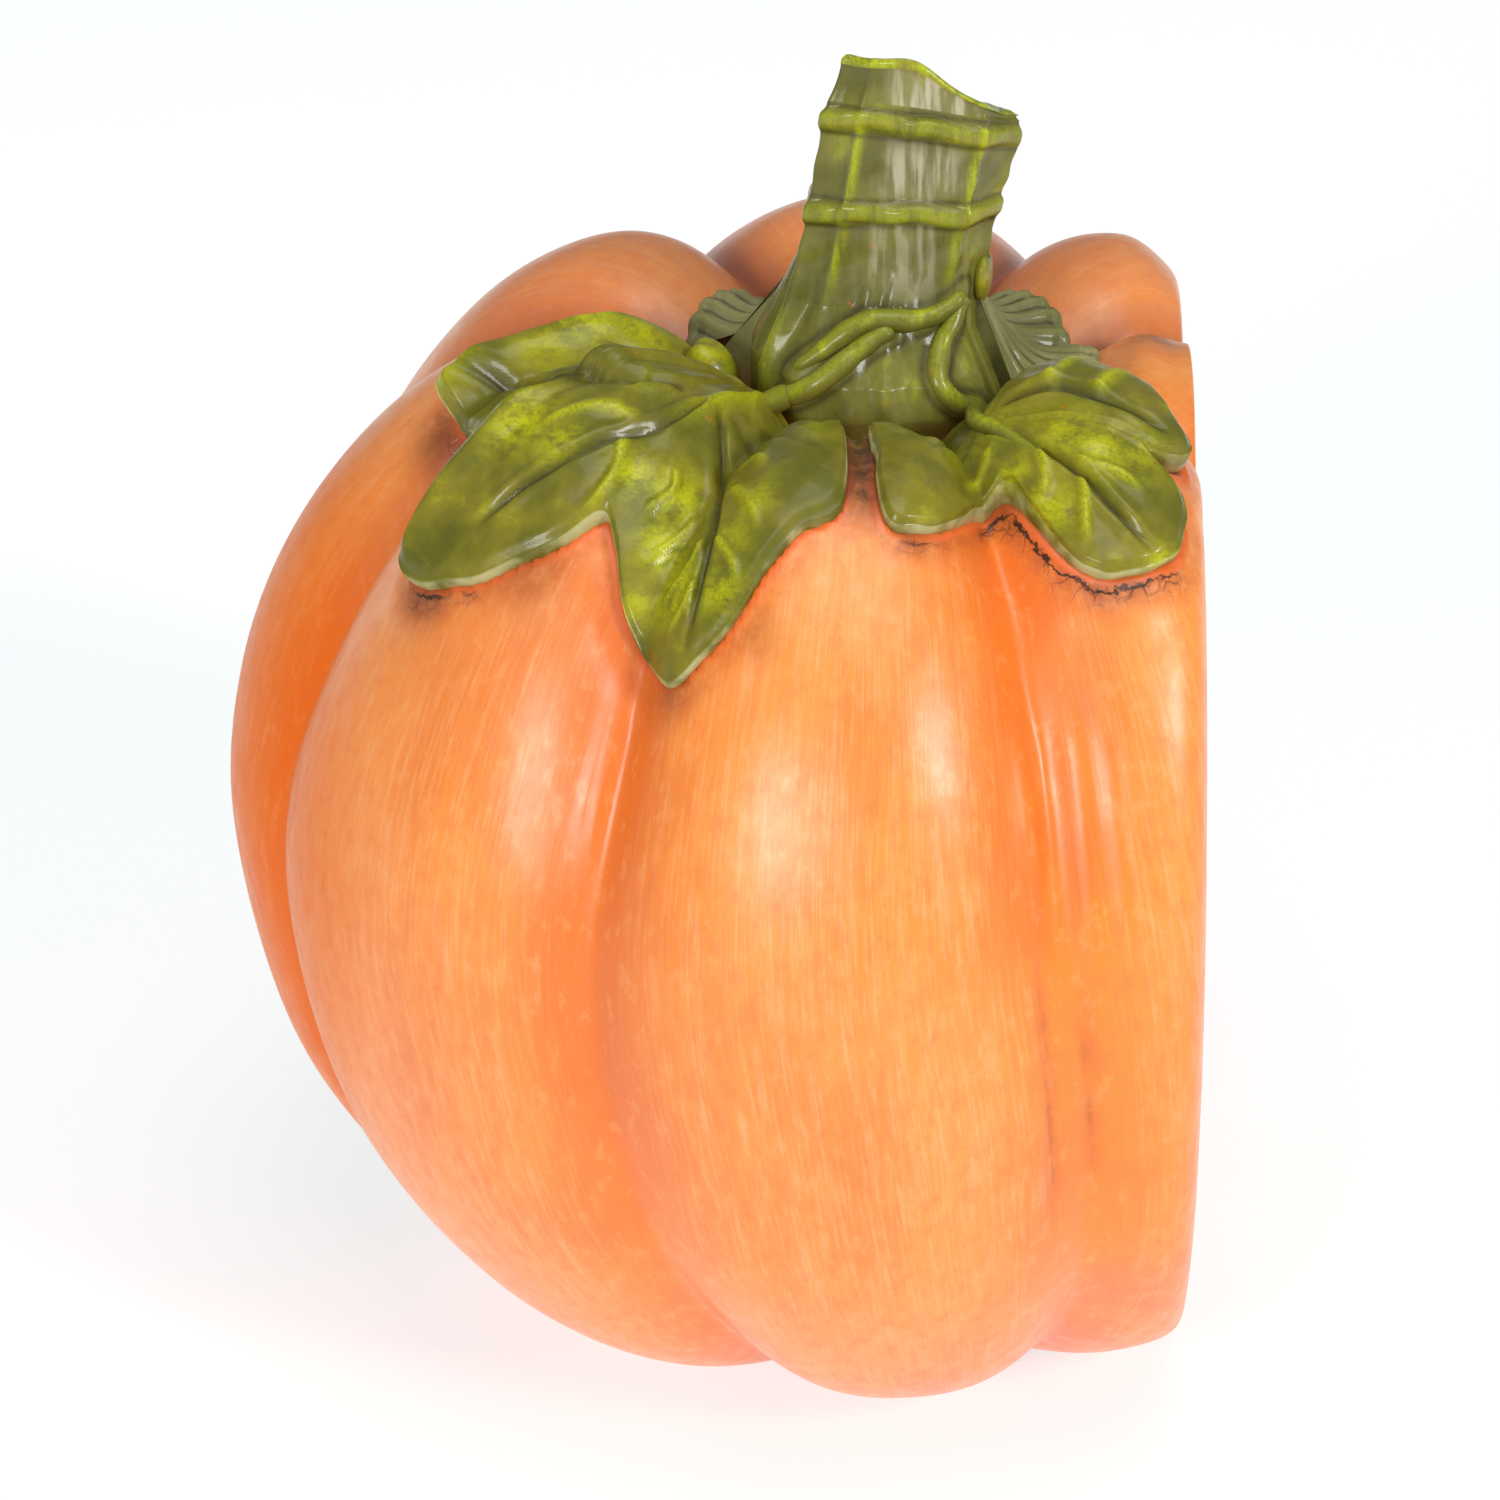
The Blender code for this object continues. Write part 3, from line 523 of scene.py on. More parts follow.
def leaf_piece(name, landing, outline, centre_lift, midribs, side_veins, folds, brushed):
    """A closed leaf: the upper face runs out from its landing, rolls over the rim and the under
    face runs back. Its lift is the rows' dome, with midribs sunk, side veins raised and folds."""
    a, reach, rim, middle = outline
    out = np.sin(np.linspace(0, 1, leaf_rings) ** 0.9 * math.pi / 2)[:, None]
    along = landing[0] + out * reach * np.cos(a)
    across = landing[1] + out * reach * np.sin(a)
    near = centre_lift * (1 - out) * (1 - 2 * out)
    lift = near + 4 * middle * out * (1 - out) + rim * out * (2 * out - 1)
    lift = np.maximum(lift, least_lift)
    vein = np.zeros(lift.shape)
    for path, depth, width in midribs:
        gap, way = vein_distance(along, across, curved(path))
        fade = ease((1 - way) / 0.25) * ease(way / 0.05)
        lift = lift - depth * fade * np.exp(-(gap / width) ** 2)
        lift = lift + 0.45 * depth * fade * np.exp(-((gap - 2.2 * width) / (1.3 * width)) ** 2)
        # the sunk midribs are painted dark, deeper ones darker: painted shade
        vein = np.maximum(vein, min(depth / 1.4, 1.0) * fade * np.exp(-(gap / (0.8 * width)) ** 2))
    ridge = np.zeros(lift.shape)
    for path, rise, width in side_veins:
        gap, way = vein_distance(along, across, curved(path, 12))
        fade = ease((1 - way) / 0.4) * ease(way / 0.15)
        lift = lift + 1.35 * rise * fade * np.exp(-(gap / width) ** 2)
        ridge = np.maximum(ridge, fade * np.exp(-(gap / width) ** 2))
    for x0, y0, rise, width in folds:
        away = (along - x0) ** 2 + (across - y0) ** 2
        lift = lift + rise * np.exp(-away / width ** 2) * ease((1 - out) / 0.25)
    lift = lift + 0.22 * np.sin(along * 0.55 + 1.3) * np.sin(across * 0.47) * ease((1 - out) / 0.2)
    lift = lift * (1 - 0.22 * ease((out - 0.95) / 0.05))
    upper = draped(along * mm, across * mm, lift * mm)
    curl_in = np.array([1.006, 1.004, 0.998, 0.985])[:, None]
    drop = np.array([0.42, 0.18, -0.02, -0.16])[:, None]
    side_along = landing[0] + curl_in * (along[-1] - landing[0])
    side_across = landing[1] + curl_in * (across[-1] - landing[1])
    side = draped(side_along * mm, side_across * mm, (drop * lift[-1] - 0.2 * (drop < 0.1)) * mm)
    under_out = np.array([0.9, 0.6, 0.3, 0.0])[:, None]
    under_along = landing[0] + under_out * (along[-1] - landing[0])
    under_across = landing[1] + under_out * (across[-1] - landing[1])
    under = draped(under_along * mm, under_across * mm, np.full((4, leaf_turns), -sunk_under))
    points = np.concatenate([upper, side, under])
    points[..., 1] = np.minimum(points[..., 1], back_plane - 0.0003)
    made, used = closed_grid(name, points)
    extra = np.zeros((8, leaf_turns))
    paint_layer(made, "vein", np.concatenate([vein, extra]), used)
    paint_layer(made, "ridge", np.concatenate([ridge, extra]), used)
    paint_layer(made, "outward", np.concatenate([out * np.ones(leaf_turns), extra + 1.0]), used)
    paint_layer(made, "brushed", np.concatenate([spots(along, across, brushed), extra]), used)
    return made


left_leaf = leaf_piece(
    "left_leaf", left_landing, left_outline, 8.0,
    midribs=((((50, -38), (66, -37), (85, -37), (104, -42), (118, -47)), 1.5, 0.95),
             (((50, -40), (59, -49), (64, -62), (68, -75), (73, -92)), 1.7, 1.1),
             (((46, -44), (44, -58), (34, -74), (20, -84), (10, -97)), 1.8, 1.5),
             (((46, -53), (42, -68), (38, -84)), 2.4, 3.0),
             (((50, -37), (60, -28), (72, -18), (80, -10)), 0.6, 1.2)),
    side_veins=((((30, -28), (42, -34), (52, -41), (62, -50)), 1.3, 2.2),
                (((68, -46), (74, -46), (80, -54)), 1.3, 1.0), (((78, -41), (84, -46), (90, -55)), 1.4, 1.0),
                (((88, -39), (95, -45), (100, -54)), 1.3, 1.0),
                (((98, -41), (104, -46), (108, -51)), 0.9, 0.9),
                (((76, -34), (86, -29), (96, -27)), 0.8, 1.1), (((90, -37), (99, -33), (106, -33)), 0.8, 1.0),
                (((62, -55), (72, -58), (80, -66)), 0.8, 1.3), (((58, -52), (54, -64), (56, -78)), 0.8, 1.4),
                (((38, -60), (24, -66), (14, -70)), 0.8, 1.5), (((66, -34), (74, -27), (80, -26)), 0.7, 1.1)),
    folds=((60, -54, -1.0, 6), (30, -62, 1.2, 9), (5, -66, 1.6, 9), (84, -22, 0.9, 8)),
    brushed=((7, -68, 7, 1.0), (9, -60, 6, 0.7), (14, -76, 5, 0.6), (104, -36, 5, 0.8), (12, -94, 6, 0.9),
             (47, -54, 5, 0.45), (52, -76, 7, 1.0), (44, -77, 6, 0.9), (61, -69, 5, 0.9), (71, -54, 5, 0.9),
             (75, -46, 6, 1.0), (86, -49, 6, 1.0), (98, -47, 6, 1.0), (97, -56, 4, 0.7), (86, -28, 5, 0.6),
             (68, -16, 4, 0.5), (93, -33, 5, 0.6)))
right_leaf = leaf_piece(
    "right_leaf", right_landing, right_outline, 6.0,
    midribs=((((56, 24), (68, 32), (77, 41), (86, 50), (93, 59)), 1.5, 0.95),
             (((54, 27), (54, 40), (59, 51), (64, 62)), 1.4, 1.1),
             (((54, 22), (64, 17), (76, 8)), 0.5, 1.1)),
    side_veins=((((70, 33), (78, 34), (84, 32)), 0.9, 1.2), (((77, 41), (85, 42), (94, 43)), 0.9, 1.2),
                (((74, 39), (76, 48), (80, 56)), 0.7, 1.3), (((54, 36), (44, 44), (36, 48)), 0.7, 1.5),
                (((56, 46), (48, 52), (44, 57)), 0.7, 1.5), (((62, 24), (70, 22), (80, 17)), 0.7, 1.2)),
    folds=((36, 46, 1.2, 9), (80, 28, 1.0, 6), (66, 46, 0.8, 7), (70, 13, 1.6, 6)),
    brushed=((60, 25, 6, 0.6), (71, 13, 5, 0.5), (67, 39, 8, 0.8), (71, 45, 7, 0.9), (70, 53, 7, 0.55),
             (84, 36, 5, 0.8), (94, 60, 4, 1.0), (74, 28, 4, 0.9), (82, 33, 4, 0.7), (40, 46, 8, 0.4)))

# Green finish, for the leaves and later pieces: an olive ground, painted shade in the veins and creases,
# grey streaks of wear and painted sheen, yellow-green dry-brushed where the brush was laid, a pale painted
# highlight along the rim, and a gloss varnish.
def green_paint(name, ground_a, ground_b, brushed_colour, dark, streak, gloss, pale=None):
    """The green finish: two grounds, a dry-brushed colour and a dark one for painted shade in recesses,
    the brush's streak, the varnish's roughness, and a pale painted reflection streaked upright last where
    there is one."""
    made, tree, shader, step = new_finish(name)
    at = step("ShaderNodeTexCoord").outputs["Object"]
    cloud = noise(step, at, (70, 70, 70), 3.0, 0.6, (1, 2, 3))
    hairs = noise(step, at, streak, 5.0, 0.70, (5, 1, 2))
    grain = noise(step, at, (1300, 1300, 1300), 2.0, 0.6)
    paint = over(step, ground_a, ground_b, between(step, cloud, 0.35, 0.65))
    # grey-olive streaks, partly wear and partly painted sheen
    wear_and_sheen = times(step, between(step, hairs, 0.56, 0.72), 0.24)
    paint = over(step, paint, colour_of(150, 144, 84), wear_and_sheen)
    laid = times(step, layer(step, "brushed"), between(step, hairs, 0.36, 0.58, 0.22, 1.0))
    laid = times(step, laid, between(step, grain, 0.28, 0.60, 0.66, 1.0))
    faint = times(step, between(step, cloud, 0.54, 0.70), between(step, hairs, 0.44, 0.62, 0.0, 0.34))
    laid = combine(step, "MAXIMUM", laid, faint)
    on_ridges = times(step, layer(step, "ridge"), between(step, grain, 0.25, 0.6, 0.3, 0.8))
    laid = combine(step, "MAXIMUM", laid, on_ridges)
    paint = over(step, paint, brushed_colour, times(step, laid, 0.90))
    # painted shade: the dark colour laid into veins, creases and undersides
    shade_in_recesses = times(step, layer(step, "vein"), between(step, hairs, 0.25, 0.6, 0.45, 0.85))
    paint = over(step, paint, dark, shade_in_recesses)
    # painted highlight: a pale line along the rim
    rim_highlight = between(step, layer(step, "outward"), 0.992, 1.0)
    rim_highlight = times(step, rim_highlight, between(step, cloud, 0.38, 0.60, 0.0, 0.55))
    paint = over(step, paint, colour_of(206, 202, 150), rim_highlight)
    missed = between(step, noise(step, at, (260, 260, 260), 3.0, 0.55, (8, 1, 4)), 0.73, 0.76, 0.0, 0.7)
    paint = over(step, paint, colour_of(196, 104, 44), missed)
    # painted reflection: pale grey-green streaks, where a piece has them
    if pale:
        streaks = between(step, noise(step, at, (420, 420, 40), 3.0, 0.5), 0.40, 0.60, 0.15, 1.0)
        paint = over(step, paint, pale, times(step, layer(step, "pale"), streaks))
    tree.links.new(paint, shader.inputs["Base Color"])
    tree.links.new(between(step, grain, 0.3, 0.7, gloss, gloss + 0.10), shader.inputs["Roughness"])
    shader.inputs["Specular IOR Level"].default_value = 0.26
    shader.inputs["Coat Weight"].default_value = 0.22
    shader.inputs["Coat Roughness"].default_value = 0.09
    relief = step("ShaderNodeBump", Strength=0.35, Distance=0.0004, Height=hairs)
    relief = step("ShaderNodeBump", Strength=0.25, Distance=0.0010, Height=cloud, Normal=relief.outputs[0])
    tree.links.new(relief.outputs[0], shader.inputs["Normal"])
    return made


leaf_green = green_paint("leaf_green", colour_of(98, 97, 25), colour_of(130, 123, 33),
                         colour_of(194, 197, 10), colour_of(46, 40, 16), (170, 170, 340), 0.28)
for piece, node in ((left_leaf, "leaf_left"), (right_leaf, "leaf_right")):
    piece.data.materials.append(leaf_green)
    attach(piece, "root")
    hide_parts(node)


# ---- Stem ------------------------------------------------------------------------------------
# A leaning stalk modelled by hand: a flat front face between two narrow facets, two raised
# rings, a slanted cut at the top and a foot that flares over the hub. Luted on with slip.
hub = crest_line[0][1] * shell_height
stem_half = 0.0198
stem_bottom = -0.004
stem_rise = 0.0793
sharpness = 30
ring_out = 0.0019
ring_half = 0.0022
ring_heights = (0.0522, 0.0715)
ring_tilt_side, ring_tilt_front = -0.114, 0.30
cut_slope_side, cut_slope_front = -0.39, 0.40
cut_arch = 0.0042
stem_corners = ((0.56, -1.00), (0.72, -0.62), (0.76, 0.66), (0.40, 1.03), (-0.70, 0.72), (-0.66, -0.78))
# height, side factor, front factor, share of the oval, sideways shift
stem_foot = np.array(((-0.004, 1.20, 1.55, 1.0, 0.0), (0.004, 1.38, 1.80, 1.0, 0.0),
                      (0.011, 1.36, 1.84, 0.9, 0.0), (0.018, 1.22, 1.72, 0.75, -0.001),
                      (0.025, 1.08, 1.36, 0.45, -0.001), (0.032, 1.00, 1.08, 0.15, 0.0005),
                      (0.040, 0.96, 1.00, 0.0, 0.002), (0.046, 0.96, 1.00, 0.0, 0.003),
                      (0.072, 0.99, 1.00, 0.0, 0.0078), (0.086, 0.90, 0.97, 0.0, 0.0092)))


def stem_reach(angle, height):
    """Distance from the stem's middle to its skin, and the middle's sideways shift. The section
    is a rounded six-sided figure, by a high power mean of its sides, that turns into an oval."""
    h, a = np.broadcast_arrays(np.asarray(height, float), np.radians(np.asarray(angle, float)))
    side, front, oval_share, shift = [np.interp(h, stem_foot[:, 0], stem_foot[:, k]) for k in (1, 2, 3, 4)]
    dx, dy = np.cos(a), np.sin(a)
    gather = np.zeros(a.shape)
    for (px, py), (qx, qy) in zip(stem_corners, stem_corners[1:] + stem_corners[:1]):
        nx, ny = qy - py, px - qx
        flip = 1.0 if nx * (px + qx) + ny * (py + qy) > 0 else -1.0
        facing = np.maximum((dx * nx + dy * ny) * flip, 1e-3)
        gather = gather + (facing / (flip * (nx * px + ny * py))) ** sharpness
    flat = gather ** (-1 / sharpness) * stem_half * (side + (front - side) * np.maximum(dx, 0) ** 2)
    ahead = 0.5 + 0.5 * dx
    oval = stem_half * (side + (front * 0.80 - side) * ahead ** 2)
    flare = 0.0026 * np.exp(-((np.mod(np.degrees(a) + 180, 360) - 180 + 92) / 34) ** 2)
    flare = flare * ease((h - 0.010) / 0.012) * (1 - ease((h - 0.030) / 0.018))
    return flat * (1 - oval_share) + oval * oval_share + flare, shift


def on_stem(angle, height, out):
    """A point outside the stem's skin, at an angle and a height above the hub."""
    reach, shift = stem_reach(angle, height)
    a = np.radians(np.asarray(angle, float))
    return np.stack([(reach + out) * np.cos(a), (reach + out) * np.sin(a) + shift, hub + height + 0 * a], -1)


# where the three strands run: angles and heights on the stem, then places on the leaves
upper_run = np.array([on_stem(turn, rise, 0.0006) for turn, rise in
                      ((50, 0.0345), (44, 0.0326), (33, 0.0306), (20, 0.0298), (6, 0.0300), (-8, 0.0298),
                       (-16, 0.0286), (-23, 0.0266), (-29, 0.0242), (-35, 0.0220), (-41, 0.0196))])
left_run = np.array([on_stem(turn, rise, 0.0008) for turn, rise in
                     ((8, 0.0284), (0, 0.0272), (-7, 0.0256), (-13, 0.0238), (-20, 0.0212), (-28, 0.0182),
                      (-36, 0.0156), (-44, 0.0138))]
                    + [draped(0.033, -0.029, 0.0068), draped(0.042, -0.0345, 0.0055),
                       draped(0.050, -0.040, 0.0038), draped(0.057, -0.046, 0.0016)])
right_run = np.array([on_stem(turn, rise, 0.0008) for turn, rise in
                      ((51, 0.0338), (47, 0.0318), (42, 0.0286), (36, 0.0256), (31, 0.0224), (28, 0.0195),
                       (29, 0.0168), (34, 0.0138), (42, 0.0116))]
                     + [draped(0.050, 0.0225, 0.0068), draped(0.059, 0.0265, 0.0056),
                        draped(0.068, 0.032, 0.0042), draped(0.076, 0.039, 0.0026)])

stem_turns, stem_rows = 440, 184
angle = 360.0 * np.arange(stem_turns) / stem_turns
height = stem_bottom + 0.0790 * np.linspace(0, 1, stem_rows)[:, None]
a = np.radians(angle)
reach, shift = stem_reach(angle[None, :], height)
rings = np.zeros(reach.shape)
wrapped = np.mod(angle + 180, 360) - 180
left_notch = np.exp(-((wrapped + 44) / 3.0) ** 2)
for at, fall in zip(ring_heights, (0.10, 0.45)):
    wander = at + 0.0005 * np.sin(3 * a + 40 * at) + 0.0004 * np.sin(8 * a)
    swollen = 1 + 0.10 * np.sin(7 * a + 1.0) + 0.06 * np.sin(13 * a + 2.2) - 0.22 * left_notch
    thinner = 1 - fall * np.exp(-((wrapped - 62) / 16) ** 2)
    bar = np.exp(-(np.abs(height - wander) / (ring_half * (0.85 + 0.15 * thinner))) ** 4.2)
    rings = rings + ring_out * swollen * thinner * bar
upper_part = ease((height - 0.030) / 0.014)
flutes = 0.00055 * np.sin(17 * a + 0.8 * np.sin(5 * a)) * (1 - upper_part) * (np.cos(a - 2.2) < 0.4)
left_flutes = 0.0007 * np.cos(np.radians(wrapped + 74) * 22) * np.exp(-((wrapped + 74) / 26) ** 2)
flutes = flutes + left_flutes * (ease((height - 0.016) / 0.010) * (1 - ease((height - 0.045) / 0.010)))
corner = np.zeros(stem_turns)
for px, py in stem_corners:
    near_corner = np.abs((angle - math.degrees(math.atan2(py, px)) + 180) % 360 - 180)
    corner = np.maximum(corner, np.exp(-(near_corner / 3.2) ** 2))
pinched_corner = 0.00095 * corner * upper_part
hollowed = -0.0007 * np.exp(-((wrapped - 1) / 22.0) ** 2) * upper_part
dented = 0.00022 * np.sin(height * 700 + 3 * np.sin(4 * a)) * np.sin(6 * a + 1) * upper_part
off_rings = 1 - np.minimum(rings / ring_out, 1)
reach = reach + rings + flutes + (hollowed + pinched_corner + dented) * off_rings
skin = np.stack([reach * np.cos(a), reach * np.sin(a) + shift, hub + height + 0 * a], -1)
# the foot's clay is pushed up along the strands
strand_gap = np.full(reach.shape, 1.0)
for run in (upper_run, left_run, right_run):
    for spot in along_line(run, np.linspace(0, 1, 90)):
        strand_gap = np.minimum(strand_gap, np.linalg.norm(skin - spot, axis=-1))
reach = reach + 0.0010 * np.exp(-(strand_gap / 0.0036) ** 2)
x = reach * np.cos(a)
y = reach * np.sin(a) + shift
tilted = ease((height - 0.050) / 0.020)
z = hub + height + (ring_tilt_side * (y - shift) + ring_tilt_front * (x - 0.75 * stem_half)) * tilted
stem_grid = np.stack([x, y, z], -1)
# the slanted cut: a rim that arches up at the front, a short wall down to the top ring, and a
# shallow dip inside
top_reach, top_shift = stem_reach(angle, stem_rise + 0.004)
post = np.exp(-((wrapped + 50) / 10) ** 2)
arch = np.exp(-((wrapped + 10) / 30) ** 2)
top_reach = top_reach + 0.0002 * post + 0.0004 * corner - 0.0018 * np.exp(-((wrapped + 60) / 22) ** 2)
tx = top_reach * np.cos(a)
ty = top_reach * np.sin(a) + top_shift
tz = hub + stem_rise - 0.0006 + cut_slope_side * ty + cut_slope_front * tx + cut_arch * arch
tz = np.maximum(tz, stem_grid[-1, :, 2] + 0.0012)
rim = np.stack([tx, ty, tz], -1)
middle = np.array([0.0, float(top_shift[0]), 0.0])
middle[2] = hub + stem_rise - 0.41 * middle[1]
wall_rows = 30
climb = np.linspace(0, 1, wall_rows + 1)[1:, None, None]
wall = stem_grid[-1][None] * (1 - climb) + rim[None] * climb
bead = np.exp(-((climb - 0.90) / 0.10) ** 2) * 0.022 - 0.018 * np.sin(math.pi * np.clip(climb / 0.8, 0, 1))
bead = bead - 0.02 * ease((climb - 0.93) / 0.07)
grow = 1 + np.concatenate([bead, bead, 0 * bead], -1)
wall = middle + (wall - middle) * grow
lid_share = np.array([0.95, 0.89, 0.80, 0.55, 0.25, 0.0])[:, None, None]
lid = middle + (wall[-1][None] - middle) * lid_share
lid[..., 2] += np.array([0.0004, -0.0006, -0.0022, -0.0030, -0.0034, -0.0036])[:, None]
base_middle = np.array([0.0, 0.0, hub + stem_bottom])
foot_lid = np.array([0.0, 0.5])[:, None, None] * (stem_grid[0] - base_middle) + base_middle
stem_all = np.concatenate([foot_lid, stem_grid, wall, lid])
stem, used = closed_grid("stem_stalk", stem_all)
below = np.zeros((2, stem_turns))
above = np.zeros((wall_rows + len(lid), stem_turns))
rim_rows = above.copy()
rim_rows[wall_rows - 6:wall_rows + 2] = 1.0
ring_paint = np.clip(rings / ring_out, 0, 1)
front_edges = np.exp(-((wrapped + 40) / 2.8) ** 2) + np.exp(-((wrapped - 40) / 2.6) ** 2)
edge_paint = front_edges * upper_part * (height < 0.073)
laid = np.maximum(0.55 * ring_paint, 0.95 * edge_paint)
laid = np.maximum(laid, 0.8 * np.exp(-((wrapped + 62) / 6) ** 2) * ease((0.040 - height) / 0.02))
paint_layer(stem, "brushed", np.concatenate([below, laid, rim_rows]), used)
paint_layer(stem, "ridge", np.concatenate([below, 0.35 * ring_paint ** 2, 0.5 * rim_rows]), used)
# painted shade: dark lines in the gutters beside the rings and along the creases where the strands meet the
# stem
ring_gutter_shade = np.zeros(reach.shape)
for at in ring_heights:
    ring_gutter_shade = np.maximum(ring_gutter_shade, np.exp(-((np.abs(height - at) - 1.35 * ring_half) / 0.0006) ** 2))
strand_crease_shade = np.exp(-((strand_gap - 0.0033) / 0.0009) ** 2)
stem_crease_shade = np.maximum(0.8 * ring_gutter_shade, 0.9 * strand_crease_shade)
paint_layer(stem, "vein", np.concatenate([below, stem_crease_shade, above]), used)
paint_layer(stem, "outward", np.zeros(stem_all.shape[:2]), used)
# the flat faces also carry a pale grey-green painted reflection, streaked upright
face = np.exp(-((wrapped - 4) / 30) ** 6)
pale = 0.80 * np.exp(-((height - 0.0615) / 0.0062) ** 4) + 0.50 * np.exp(-((height - 0.043) / 0.009) ** 4)
wall_reflection = np.zeros(above.shape)
wall_reflection[2:wall_rows - 6] = 0.95 * face
paint_layer(stem, "pale", np.concatenate([below, face * pale * (1 - ring_paint), wall_reflection]), used)

stem_green = green_paint("stem_green", colour_of(98, 97, 38), colour_of(124, 121, 50),
                         colour_of(178, 186, 18), colour_of(58, 52, 28), (420, 420, 46), 0.24,
                         pale=colour_of(196, 188, 158))
stem.data.materials.append(stem_green)
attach(stem, "root")
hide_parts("stem")


# ---- Calyx -----------------------------------------------------------------------------------
# A thin fluted collar spread round the back of the stem's foot. Its folds run down the stem and
# out to a scalloped rim. It was pressed on while wet and left a dusty, less varnished green.
collar_rows, collar_columns = 110, 760
collar_from, collar_sweep = 64.0, 194.0
collar_reach = 0.0492
collar_climb = 0.035
rib_count = 31
rib_height = 0.00042
out = np.linspace(0, 1, collar_rows)[:, None]
turn = np.linspace(0, 1, collar_columns)[None, :]
psi = collar_from + collar_sweep * turn
lean = turn + 0.020 * out ** 2
rib = np.cos(2 * math.pi * rib_count * lean)
a = np.radians(psi)
rim_at = collar_reach * (1 + 0.008 * np.cos(2 * math.pi * rib_count * lean[-1])) * np.ones_like(psi)
near_stem = on_stem(psi, collar_climb, -0.0010)
foot_point = on_stem(psi, 0.015, 0.0036)
mid_point = draped(0.038 * np.cos(a), 0.038 * np.sin(a), 0.0064)
rim_point = draped(rim_at * np.cos(a), rim_at * np.sin(a), 0.0034)
# each fold runs from stem to rim on a cubic Bezier curve, and the ribs stand square to the sheet
o = out[..., None]
base = (near_stem * (1 - o) ** 3 + 3 * foot_point * o * (1 - o) ** 2
        + 3 * mid_point * o ** 2 * (1 - o) + rim_point * o ** 3)
across_way = np.gradient(base, axis=1)
out_way = np.gradient(base, axis=0)
square = np.cross(out_way, across_way)
square /= np.linalg.norm(square, axis=-1)[..., None]
square = square * np.where(square[..., 2:] < 0, -1.0, 1.0)
shaped = np.sign(rib) * np.abs(rib) ** 0.8
fold = rib_height * shaped * np.sin(math.pi * np.clip(out * 0.62 + 0.10, 0, 1))
fold = fold - 0.0010 * ease((out - 0.93) / 0.07)
upper = base + square * fold[..., None]
beyond = np.array([1.012, 1.016, 1.008])[:, None] * rim_at
rim_band = draped(beyond * np.cos(a), beyond * np.sin(a), np.array([0.0022, 0.0010, -0.0004])[:, None])
inside = np.linspace(0.98, 0.40, 10)[:, None] * rim_at
under = draped(inside * np.cos(a), inside * np.sin(a), -sunk_under)
sheet = np.concatenate([upper, rim_band, under])
first = np.repeat(sheet[:, :1].mean(axis=0, keepdims=True), sheet.shape[0], 0)
last = np.repeat(sheet[:, -1:].mean(axis=0, keepdims=True), sheet.shape[0], 0)
sheet = np.swapaxes(np.concatenate([first, sheet, last], axis=1), 0, 1)
sheet[..., 1] = np.minimum(sheet[..., 1], back_plane)
calyx, used = closed_grid("calyx_collar", sheet)
rib_rows = np.concatenate([rib, np.zeros((len(rim_band) + len(under), collar_columns))])
rib_rows = np.concatenate([rib_rows[:, :1], rib_rows, rib_rows[:, -1:]], axis=1).T
# painted shade, dark in the troughs between the ribs
paint_layer(calyx, "vein", np.clip(-rib_rows, 0, 1) ** 6, used)
paint_layer(calyx, "ridge", 0.30 * np.clip(rib_rows, 0, 1) ** 4, used)
paint_layer(calyx, "brushed", 0.25 * np.clip(rib_rows, 0, 1), used)
paint_layer(calyx, "outward", np.zeros(sheet.shape[:2]), used)
calyx_green = green_paint("calyx_green", colour_of(114, 115, 66), colour_of(142, 138, 92),
                          colour_of(166, 168, 76), colour_of(66, 58, 30), (150, 150, 150), 0.40)
calyx.data.materials.append(calyx_green)
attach(calyx, "root")
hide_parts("calyx")


# ---- Strands ---------------------------------------------------------------------------------
# Clay rolled into strands: two run from the front of the stem's foot and become the leaves'
# stalks, and a third is pressed round the foot. Each is luted on along its length.
strand_turns, strand_steps = 44, 220


def rolled_strand(name, node, points, radii):
    """A tube carried along a smooth path: its section is a circle, a little flattened, whose
    radius follows the given radii and wavers as hand-rolled clay does."""
    share = np.linspace(0, 1, strand_steps)
    path = along_line(points, share)
    way = np.gradient(path, axis=0)
    way /= np.linalg.norm(way, axis=1)[:, None]
    side = np.cross(way, np.array([0.55, 0.0, 1.0]))
    side /= np.linalg.norm(side, axis=1)[:, None]
    upward = np.cross(side, way)
    radius = np.interp(share, np.linspace(0, 1, len(radii)), radii)
    radius = radius * (1 + 0.05 * np.sin(share * 19 + 1) + 0.03 * np.sin(share * 41))
    length = np.linalg.norm(np.diff(path, axis=0), axis=1).sum()
    end = np.clip(np.minimum(share, 1 - share) * length / (1.6 * radius), 0, 1)
    radius = radius * np.sqrt(np.clip(1 - (1 - end) ** 2, 0.0004, 1))
    a = 2 * math.pi * np.arange(strand_turns) / strand_turns
    section = np.cos(a)[None, :, None] * side[:, None] + 0.92 * np.sin(a)[None, :, None] * upward[:, None]
    made, used = closed_grid(name, path[:, None] + section * radius[:, None, None])
    height_round = np.sin(a) * np.ones((strand_steps, 1))
    top = np.clip(height_round, 0, 1)
    broken = 0.5 + 0.5 * np.sin(share * 23 + 2)[:, None]
    paint_layer(made, "brushed", top ** 2 * broken, used)
    # painted shade, dark on the strands' undersides
    paint_layer(made, "vein", 0.6 * np.clip(-height_round, 0, 1) ** 2, used)
    paint_layer(made, "ridge", 0.55 * top ** 3, used)
    paint_layer(made, "outward", 0 * top, used)
    made.data.materials.append(stem_green)
    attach(made, "root")
    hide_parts(node)


